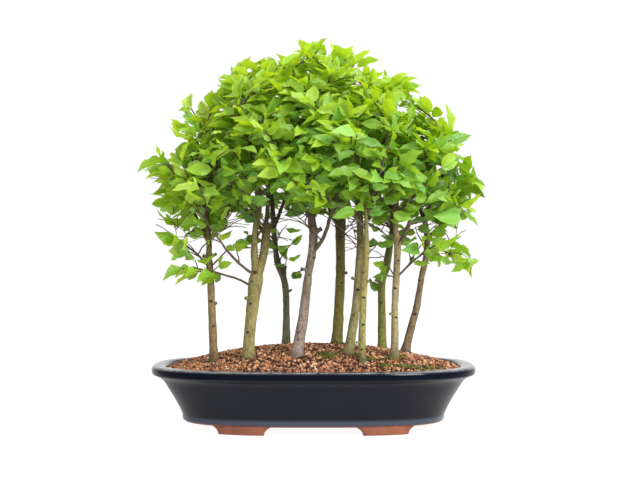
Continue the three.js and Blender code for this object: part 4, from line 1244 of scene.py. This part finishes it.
# %% Main branches, as in the solids
def grow_sprays():
    loads = [0] * len(TREES)
    targets = [(Vector(tip), tree, height) for tree, height, tip in OWN_BRANCHES]
    targets += [(tip, None, None) for tip in shell_tips(SPRAY_COUNT, SHELL_SHARE, 0.4)]
    first_inner = len(targets)
    targets += [(Vector(tip), tree, height) for tree, height, tip in INNER_BRANCHES]
    sprays = []
    for key, (tip, tree, height) in enumerate(targets):
        t, start, r = root_for(tip, tree, height, loads)
        for attempt in range(ROUTE_TRIES):
            sway = (1 + attempt / 12) * spread(key, attempt, 11)
            points = branch_points(start, tip, sway, BRANCH_STEPS, min(2.2, 0.8 * r), 1.2)
            if not thicket.clear(points, None, 2) or not thicket.clear(points, -1 - t, 0):
                continue
            loads[t] += 1
            sprays.append({"key": key, "tree": t, "points": points, "taken": set(), "twigs": [],
                           "inner": key >= first_inner})
            thicket.add(points, key)
            break
    for spray in sprays:
        key = spray["key"]
        for segment in ((2,) if spray["inner"] else (1, 2)):
            for attempt in range(6):
                side = 1 if (segment + key + attempt) % 2 == 0 else -1
                keys = (key, segment, attempt)
                place = flank_place(spray["points"], segment, 0.5, side)
                length = 30 + 18 * chance(*keys, 21)
                tip = place["p"] + place["way"] * 0.75 * length
                tip += place["side"] * side * length * 0.85
                tip += UP * length * 0.25 * spread(*keys, 22)
                middle = (place["p"] + tip) / 2 + UP * 1.5
                points = [(place["p"], 1), (middle, 1.1), (tip, 0.95)]
                if not thicket.clear(points, key, 0):
                    continue
                spray["twigs"].append({"points": points, "taken": set()})
                spray["taken"].add((segment, side))
                thicket.add(points, key)
                break
    return sprays


sprays = grow_sprays()
numbers = [0] * len(TREES)
for spray in sprays:
    numbers[spray["tree"]] += 1
    spray["node"] = f"tree_{spray['tree'] + 1:02d}_spray_{numbers[spray['tree']]}"
print("main branches:", len(sprays), "twigs:", sum(len(s["twigs"]) for s in sprays))

# %% [markdown]
# A leaf is a place, a way, the way its face looks, a length and a half width. It leaves its twig
# at about sixty degrees and sinks a little; near the top of the crown leaves lift instead, and
# outer leaves turn their faces outwards, towards the light.

# %% One leaf
def leaf_at(place, side, keys, length, free=False):
    turn = 0.3 * spread(*keys, 1) if side == 0 else side * (1.0 + 0.2 * spread(*keys, 1))
    way = place["way"] * math.cos(turn) + place["side"] * math.sin(turn)
    height = (place["p"].z - CROWN_CENTRE.z) / CROWN_HALF.z
    way.z += 0.75 * max(0, height) - 0.12 - 0.38 * chance(*keys, 2)
    if free:
        way += Vector((spread(*keys, 7), spread(*keys, 8), spread(*keys, 9))) * 0.38
        way.z += 0.7 * max(0, height - 0.3)
    way.normalize()
    normal = 0.5 * UP + 0.9 * (place["p"] - CROWN_CENTRE).normalized()
    normal += place["side"] * 0.5 * spread(*keys, 3)
    normal.y += 0.7 * height * spread(*keys, 6)
    if free:
        normal -= 0.3 * UP
        normal += Vector((spread(*keys, 10), spread(*keys, 11), spread(*keys, 12))) * 0.6
    normal = (normal - normal.dot(way) * way).normalized()
    half = length * (0.25 + 0.03 * spread(*keys, 4)) * (0.9 if free else 1)
    return {"base": place["p"], "way": way, "normal": normal, "length": length, "half": half,
            "arch": 0.08 + 0.16 * chance(*keys, 5), "keys": keys}


def leaf_room(leaf):
    """Places down the middle of a leaf, each with the room that its blade needs there."""
    room = []
    for along in (0.2, 0.35, 0.5, 0.65, 0.8, 1):
        width = along / 0.4 if along < 0.4 else 1 - (along - 0.4) / 0.6
        drop = leaf["arch"] * leaf["length"] * along * along
        place = leaf["base"] + leaf["way"] * along * leaf["length"] - leaf["normal"] * drop
        room.append((place, 0.66 * leaf["half"] * width + 0.8, along))
    return room


class Leafage:
    """The room that leaves have taken so far."""
    def __init__(self):
        self.p = np.zeros((40000, 3))
        self.r = np.zeros(40000)
        self.along = np.zeros(40000)
        self.owner = np.zeros(40000, int)
        self.count = 0

    def add(self, room, owner):
        for place, r, along in room:
            n = self.count
            self.p[n], self.r[n], self.along[n], self.owner[n] = place, r, along, owner
            self.count += 1

    def fits(self, room, owner, near_own, near_others, wood_share):
        n = self.count
        same = self.owner[:n] == owner
        factor = np.where(same, near_own, near_others)
        for place, r, along in room:
            far = np.linalg.norm(self.p[:n] - np.array(place), axis=1)
            close = far < factor * (r + self.r[:n])
            if along < 0.3:
                close &= ~(same & (self.along[:n] < 0.3))
            if close.any():
                return False
            wood = thicket.gaps(place) < wood_share * r + thicket.r[:thicket.count] + 0.6
            if along < 0.4:
                wood &= thicket.owner[:thicket.count] != owner
            if wood.any():
                return False
        return True


leafage = Leafage()

# %% Leaves of the main branches, as in the solids
LEAF_TRIES = 10
LEAF_LONG, LEAF_SHORT = 46, 34


def leaf_sites(points, first, turn, inner):
    last = len(points) - 2
    sites = []
    for segment in range(first, last + 1):
        side = 1 if (segment + turn) % 2 == 0 else -1
        sites.append((segment, side, 0.4))
        paired = segment >= last - 1 if first > 1 else turn % 2 == 0
        if paired and not inner:
            sites.append((segment, -side, 0.75))
    return sites + [(last, 0, 1)]


def reach_leaf(spray):
    """The outermost branch on each side ends in a leaf that reaches the crown's limit."""
    tip = spray["points"][-1][0]
    for axis, limit in [((-1, 0, 0), REACH.x), ((1, 0, 0), REACH.x), ((0, -1, 0), REACH.y),
                        ((0, 1, 0), REACH.y), ((0, 0, 1), REACH.z)]:
        axis = Vector(axis)
        if tip.dot(axis) < max(s["points"][-1][0].dot(axis) for s in sprays):
            continue
        way = (axis - 0.35 * (Vector((0.5, -0.3, 0)) if axis.z else UP)).normalized()
        length = (limit - tip.dot(axis)) / way.dot(axis)
        normal = Vector((0.3, -0.4, 0.8)) + 0.4 * axis
        normal = (normal - normal.dot(way) * way).normalized()
        return {"base": tip, "way": way, "normal": normal, "length": length * 0.99,
                "half": 0.25 * length, "arch": 0, "keys": (spray["key"], 77)}
    return None


def inside_reach(place):
    return abs(place.x) < REACH.x and abs(place.y) < REACH.y and place.z < REACH.z


def grow_leaves():
    for spray in sprays:
        spray["reach"] = reach_leaf(spray)
        if spray["reach"]:
            leafage.add(leaf_room(spray["reach"]), spray["key"])
    for spray in sprays:
        key = spray["key"]
        spray["leaves"] = []
        for r, run in enumerate([spray, *spray["twigs"]]):
            sites = leaf_sites(run["points"], 2 if r == 0 else 1, key + r, spray["inner"])
            for i, (segment, side, share) in enumerate(sites):
                if (segment, side) in run["taken"]:
                    continue
                if r == 0 and side == 0 and spray["reach"]:
                    spray["leaves"].append(spray["reach"])
                    continue
                for attempt in range(LEAF_TRIES):
                    keys = (key, r, i, attempt)
                    length = LEAF_SHORT + (LEAF_LONG - LEAF_SHORT) * chance(*keys, 31)
                    length *= 0.75 if attempt > LEAF_TRIES / 2 else 1
                    place = flank_place(run["points"], segment, share, side)
                    leaf = leaf_at(place, side, keys, length)
                    room = leaf_room(leaf)
                    if not all(inside_reach(spot[0]) for spot in room):
                        continue
                    if not leafage.fits(room, key, 0.75, 1.0, 0.8):
                        continue
                    leafage.add(room, key)
                    spray["leaves"].append(leaf)
                    break


grow_leaves()
print("leaves as in the solids:", sum(len(spray["leaves"]) for spray in sprays))

# %% [markdown]
# The solids hold a tenth of the leaves, because each one there costs many faces. Here the rest
# grows: more side twigs on every branch, more branches to tips on the shell and below it, and
# leaves along all of them, one after the other on alternate sides, as on the real tree.

# %% More twigs and branches
FIRST_EXTRA = 1000
LOW_TIPS = [
    (-170, -62, 262), (-214, -44, 284), (-146, -96, 286), (-236, -60, 306), (-192, 6, 306),
    (-128, -60, 300), (-240, 10, 330), (-205, -96, 322), (152, -64, 268), (192, -34, 258),
    (216, 8, 264), (238, -22, 292), (172, 42, 274), (246, 30, 312), (128, -98, 288),
    (206, 60, 300), (226, -62, 330), (98, -90, 300), (44, -96, 306), (-24, -104, 312),
    (-70, 62, 300), (60, 92, 312), (-60, -110, 318), (10, -100, 330), (178, -98, 316),
]
LOW_LEAFY = [
    (-142, -80, 296), (-121, -90, 284), (-140, -70, 254), (-175, -90, 259), (-164, -100, 243),
    (-41, 60, 311), (-25, 60, 294), (-60, 60, 281), (-41, 62, 262), (-30, -70, 240),
    (81, -80, 317), (101, 0, 336), (64, -40, 296), (98, -100, 284), (124, -60, 298),
    (106, -60, 253), (104, -74, 234), (87, -60, 226), (134, -70, 259), (156, -60, 260),
    (180, -70, 266), (197, -72, 266), (219, -70, 268), (244, -70, 258), (162, 0, 313),
    (200, 30, 334), (195, 0, 313), (243, 0, 336), (-98, 10, 300), (-80, -40, 316),
]


def near_root(tip, wood_runs):
    """The cheapest place on any branch or stem for a twig that ends at this tip."""
    best = None
    for run in wood_runs:
        for i in range(1 if run["stem"] else 0, len(run["points"]) - 1):
            start, r = run["points"][i]
            level = math.hypot(tip.x - start.x, tip.y - start.y)
            cost = level + 1.2 * abs(tip.z - start.z - 0.5 * level - 6)
            cost += 300 if start.z < 225 else 0
            if best is None or cost < best[0]:
                best = (cost, run, start, r)
    return best[1:]


def add_side_twigs(run, key, owner, steps, first):
    for segment in range(first, len(run["points"]) - 1):
        for side in (-1, 1):
            if (segment, side) in run["taken"]:
                continue
            for attempt in range(5):
                keys = (key, segment, side, attempt)
                share = 0.2 + 0.6 * chance(*keys, 51)
                place = flank_place(run["points"], segment, share, side)
                length = 24 + 26 * chance(*keys, 52)
                tip = place["p"] + place["way"] * 0.7 * length
                tip += place["side"] * side * length * 0.8
                tip += UP * length * (0.1 + 0.4 * spread(*keys, 53))
                if crown_share(tip) > 0.93 or tip.z < 232:
                    continue
                points = branch_points(place["p"], tip, spread(*keys, 54), steps, 0.85, 0.5)
                if not thicket.clear(points, owner, 1, 0.5):
                    continue
                run["twigs"].append({"points": points, "taken": set(), "twigs": []})
                run["taken"].add((segment, side))
                thicket.add(points, owner)
                break


def grow_extras():
    runs = [{"points": points, "stem": True, "tree": t}
            for t, stems in enumerate(tree_stems) for points in stems]
    runs += [{"points": s["points"], "stem": False, "tree": s["tree"]} for s in sprays]
    tips = [Vector(tip) for tip in LOW_LEAFY + LOW_TIPS]
    tips += shell_tips(76, 0.87, 1.7, 1.22) + shell_tips(44, 0.66, 0.9, 1.15)
    extras = []
    for n, tip in enumerate(tips):
        key = FIRST_EXTRA + n
        low = n < len(LOW_LEAFY)
        tip += Vector((spread(key, 1), spread(key, 2), spread(key, 3))) * (3 if low else 10)
        run, start, r = near_root(tip, runs)
        for attempt in range(14):
            thick = min(1.5, 0.8 * r)
            sway = (1 + attempt / 8) * spread(key, attempt, 12)
            points = branch_points(start, tip, sway, 4, thick, 0.7)
            if not thicket.clear(points, None, 2, 0.5):
                continue
            extra = {"key": key, "tree": run["tree"], "points": points, "taken": set(),
                     "twigs": [], "leaves": [], "low": low}
            extras.append(extra)
            runs.append({"points": points, "stem": False, "tree": run["tree"]})
            thicket.add(points, key)
            break
    return extras


extras = grow_extras()
for spray in sprays + [extra for extra in extras if not extra["low"]]:
    add_side_twigs(spray, spray["key"], spray["key"], 3, 1 if spray in extras else 0)
print("more branches:", len(extras), "stretches of wood:", thicket.count)

# %% Bare twigs
FIRST_BARE = 2000


def add_bare_twigs():
    """Short twigs without leaves on the shaded wood under the crown."""
    bare = []
    for t, stems in enumerate(tree_stems):
        for s, points in enumerate(stems):
            for i in range(1, len(points) - 1):
                for n in range(2):
                    key = FIRST_BARE + 100 * t + 10 * s + i
                    start, r = points[i]
                    start = start.lerp(points[i + 1][0], chance(key, n, 1))
                    if not 258 < start.z < 400 or chance(key, n, 2) > 0.55:
                        continue
                    turn = math.tau * chance(key, n, 3)
                    way = Vector((math.cos(turn), math.sin(turn), 0.5 + 0.6 * spread(key, n, 4)))
                    length = 26 + 48 * chance(key, n, 5)
                    rows = branch_points(start, start + way.normalized() * length,
                                         spread(key, n, 6), 5, 0.9, 0.45)
                    rows = crooked(rows, 2.2, key, n)
                    if not thicket.clear(rows, -1 - t, 2, 0.3):
                        continue
                    fork = rows[2][0]
                    side = Vector((spread(key, n, 7), spread(key, n, 8), 0.5 * spread(key, n, 9)))
                    tip = fork + (way + side).normalized() * length * 0.55
                    bare.append({"tree": t, "rows": rows})
                    bare.append({"tree": t, "rows": [(fork, 0.5), ((fork + tip) / 2 + side, 0.45),
                                                     (tip, 0.35)]})
                    thicket.add(rows, key)
    return bare


bare_twigs = add_bare_twigs()
print("bare twigs:", len(bare_twigs))

# %% More leaves
LEAF_GAP = 10.0
FREE_LENGTHS = (27, 42)
YOUNG_SIZE, OUTER_SIZE, LOW_SIZE = 0.62, 1.35, 0.85
OUTER_FROM = 200


def free_length(place, keys, attempt, low):
    """Some young leaves are smaller than the rest, and some at the two sides are larger."""
    shortest, longest = FREE_LENGTHS
    length = shortest + (longest - shortest) * chance(*keys, 31) ** 1.2
    length *= YOUNG_SIZE if chance(*keys, 32) > 0.88 else 1
    length *= OUTER_SIZE if abs(place["p"].x) > OUTER_FROM and chance(*keys, 34) > 0.45 else 1
    return length * ((1 - 0.1 * attempt) * (LOW_SIZE if low else 1))


def may_hold(place, keys):
    """Where leaves live: the outer crown, few under its middle, and lower only at the sides."""
    if crown_share(place) > 1.04:
        return False
    if abs(place.x) > 125:
        return place.z > max(236, 320 - (abs(place.x) - 125) * 1.3)
    return place.z > 318 and chance(*keys, 35) < (place.z - 332) / 75


def leaves_along(run, spray, r):
    key, low = spray["key"], spray.get("low")
    points = run["points"]
    count = 0
    for segment in range(2 if low else 0 if r else 1, len(points) - 1):
        stretch = (points[segment + 1][0] - points[segment][0]).length
        places = max(1, round(stretch / LEAF_GAP))
        for k in range(places):
            sites = [(-1) ** (count + r)]
            count += 1
            share = (k + 0.5) / places
            if segment == len(points) - 2 and share > 0.6:
                sites.append(0)
            for side in sites:
                place = flank_place(points, segment, 1 if side == 0 else share, side)
                for attempt in range(4):
                    keys = (key, r, count, side, attempt, 90)
                    length = free_length(place, keys, attempt, low)
                    leaf = leaf_at(place, side, keys, length, True)
                    room = leaf_room(leaf)
                    tip = room[-1][0]
                    if not low and not may_hold(tip, keys):
                        continue
                    if not all(inside_reach(s[0]) for s in room):
                        continue
                    if crown_share(room[2][0]) < 0.42 and chance(*keys, 33) > 0.4:
                        continue
                    if not leafage.fits(room, key, 0.55, 0.7, 0.5):
                        continue
                    leafage.add(room, key)
                    spray["leaves"].append(leaf)
                    break


leaders = []
for t, stems in enumerate(tree_stems):
    for s, points in enumerate(stems):
        if (t, s) not in CUT_STEMS:
            leader = {"key": -1 - t, "tree": t, "points": points[-4:], "twigs": [],
                      "leaves": [], "leader": True}
            leaves_along(leader, leader, 50 + s)
            leaders.append(leader)
for spray in sprays + extras:
    for r, run in enumerate([spray, *spray["twigs"]]):
        leaves_along(run, spray, r)
print("leaves in all:", sum(len(s["leaves"]) for s in sprays + extras + leaders))

# %% [markdown]
# A leaf blade is a small grid, pulled into the outline of a nettle tree leaf: a lopsided, round
# base, its widest part just below the middle, a pointed tip and a faintly toothed edge. It
# starts with a short stalk. It is folded along the middle, arched over, and a little wavy. Six
# of them with a different fold and arch are enough, as every leaf has its own size and way.

# %% Leaf shapes
STATIONS = [0, 0.07, 0.11, 0.19, 0.29, 0.39, 0.49, 0.59, 0.69, 0.78, 0.87, 0.94, 1.0]
WIDTHS = [0.05, 0.06, 0.42, 0.73, 0.92, 1.0, 0.99, 0.92, 0.78, 0.58, 0.32, 0.13, 0.01]


def leaf_blade(number):
    bm = bmesh.new()
    bmesh.ops.create_grid(bm, x_segments=len(STATIONS) - 1, y_segments=4, size=1)
    fold = 0.12 + 0.14 * (number % 3)
    arch = (0.05, 0.12, 0.2, 0.3, 0.16, 0.08)[number]
    chart = bm.loops.layers.uv.new("leaf_map")
    for v in bm.verts:
        step = round((v.co.x + 1) / 2 * (len(STATIONS) - 1))
        across = v.co.y
        for loop in v.link_loops:
            loop[chart].uv = (STATIONS[step], 0.5 + across / 2)
        u = STATIONS[step]
        edge = abs(across) > 0.9
        tooth = 1 + (0.03 if step % 2 else -0.03) * edge * (0.1 < u < 0.9)
        width = WIDTHS[step] * tooth * (1 + 0.05 * (across > 0) * (u < 0.3))
        y = across * width
        wave = 0.05 * math.sin(u * 13 + number + (2 if across > 0 else 0)) * abs(across)
        z = fold * abs(y) * 0.5 + wave * width - arch * u * u
        bend = 0.05 * math.sin(u * 3 + number)
        v.co = Vector((u, y + bend * 2 * (number % 2), z))
    mesh = bpy.data.meshes.new(f"blade_{number}")
    bm.to_mesh(mesh)
    bm.free()
    return mesh


blades = [leaf_blade(number) for number in range(6)]
print("faces in a blade:", len(blades[0].polygons))

# %% [markdown]
# A branch becomes one piece: tubes for its wood and a blade for each leaf, turned and sized by
# its matrix. The finish of a leaf depends on where it grows, partly as its age and partly as
# painted light and shade. High ones are young and bright, those inside and low on the right are
# darker, and the rest lie between.

# %% Branches and leaves as pieces
def leaf_finish(leaf):
    # The choice is painted light and shade: leaves high up, on the outside, at the two low sides
    # and at the front get the lighter finishes, those inside, behind and on the right the darker.
    p = leaf["base"] + leaf["way"] * leaf["length"] * 0.5
    light = 0.9 * (p.z - 330) / 270 + 0.5 * (crown_share(p) - 0.7) - 0.0006 * p.x
    light += 0.0022 * max(0, abs(p.x) - 90) * max(0, min(1, (420 - p.z) / 90))
    light += 0.35 * spread(*leaf["keys"], 81) - 0.001 * p.y - 0.07
    return 1 if light > 0.42 else 2 if light > -0.02 else 3


def leaf_matrix(leaf):
    x, z = leaf["way"], leaf["normal"]
    y = z.cross(x)
    turn = Matrix((x, y, z)).transposed().to_4x4()
    sizes = Matrix.Diagonal((leaf["length"] * MM, leaf["half"] * MM, leaf["length"] * MM, 1))
    return Matrix.Translation(leaf["base"] * MM) @ turn @ sizes


def limit_to_reach(verts):
    for v in verts:
        v.co.x = max(-REACH.x * MM, min(REACH.x * MM, v.co.x))
        v.co.y = max(-REACH.y * MM, min(REACH.y * MM, v.co.y))
        v.co.z = min(REACH.z * MM, v.co.z)


def make_branches(group, bare=()):
    bm = bmesh.new()
    bm.loops.layers.uv.new("leaf_map")
    layer = bm.verts.layers.float.new("tone")
    for twig in bare:
        tube(bm, twig["rows"], 4)
    for spray in group:
        if not spray.get("leader"):
            fine = [(p, r * 0.85) for p, r in smooth_points(spray["points"], 2)]
            tube(bm, crooked(fine, 0.7, spray["key"]), 6)
        for twig in spray["twigs"]:
            tube(bm, twig["points"], 4)
    for spray in group:
        for leaf in spray["leaves"]:
            had = len(bm.verts)
            number = int(6 * chance(*leaf["keys"], 82))
            bm.from_mesh(blades[number])
            bm.verts.ensure_lookup_table()
            added = bm.verts[had:]
            matrix = leaf_matrix(leaf)
            tone = chance(*leaf["keys"], 83)
            for v in added:
                v.co = matrix @ v.co
                v[layer] = tone
            limit_to_reach(added)
            finish = leaf_finish(leaf)
            for face in {f for v in added for f in v.link_faces}:
                face.material_index = finish
    return bm


leaf_finishes = [twig_bark, lit_young_leaf, half_lit_full_leaf, shade_leaf]
for spray in sprays:
    if not spray["inner"]:
        as_piece(spray["node"] + "_leaves", make_branches([spray]), leaf_finishes,
                 [spray["node"]])
for t in range(len(TREES)):
    inner = [spray for spray in sprays if spray["tree"] == t and spray["inner"]]
    group = inner + [extra for extra in extras + leaders if extra["tree"] == t]
    bare = [twig for twig in bare_twigs if twig["tree"] == t]
    as_piece(f"tree_{t + 1:02d}_more_branches", make_branches(group, bare), leaf_finishes,
             [spray["node"] for spray in inner])

# %% [markdown]
# The floor is a plain white sheet under the feet, lit through from below like a light table,
# so the object stands on pure white with hardly a shadow. It is not part of the object.

# %% Floor
floor_bm = bmesh.new()
bmesh.ops.create_grid(floor_bm, x_segments=1, y_segments=1, size=6)
floor_mesh = bpy.data.meshes.new("floor")
floor_bm.to_mesh(floor_mesh)
floor_bm.free()
pale = Recipe("pale_floor")
floor_mesh.materials.append(pale.finish(pale.node(
    "ShaderNodeBsdfPrincipled", inputs={"Base Color": (0.15, 0.15, 0.15), "Roughness": 0.9,
                                        "Emission Color": (1, 1, 1), "Emission Strength": 0.92})))
floor = bpy.data.objects.new("floor", floor_mesh)
bpy.context.scene.collection.objects.link(floor)

# %% Sizes
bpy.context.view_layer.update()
total = sum(len(o.data.loop_triangles) or len(o.data.polygons) * 2
            for o in bpy.data.objects if o.type == "MESH" and not o.hide_render)
print("about", total, "triangles")
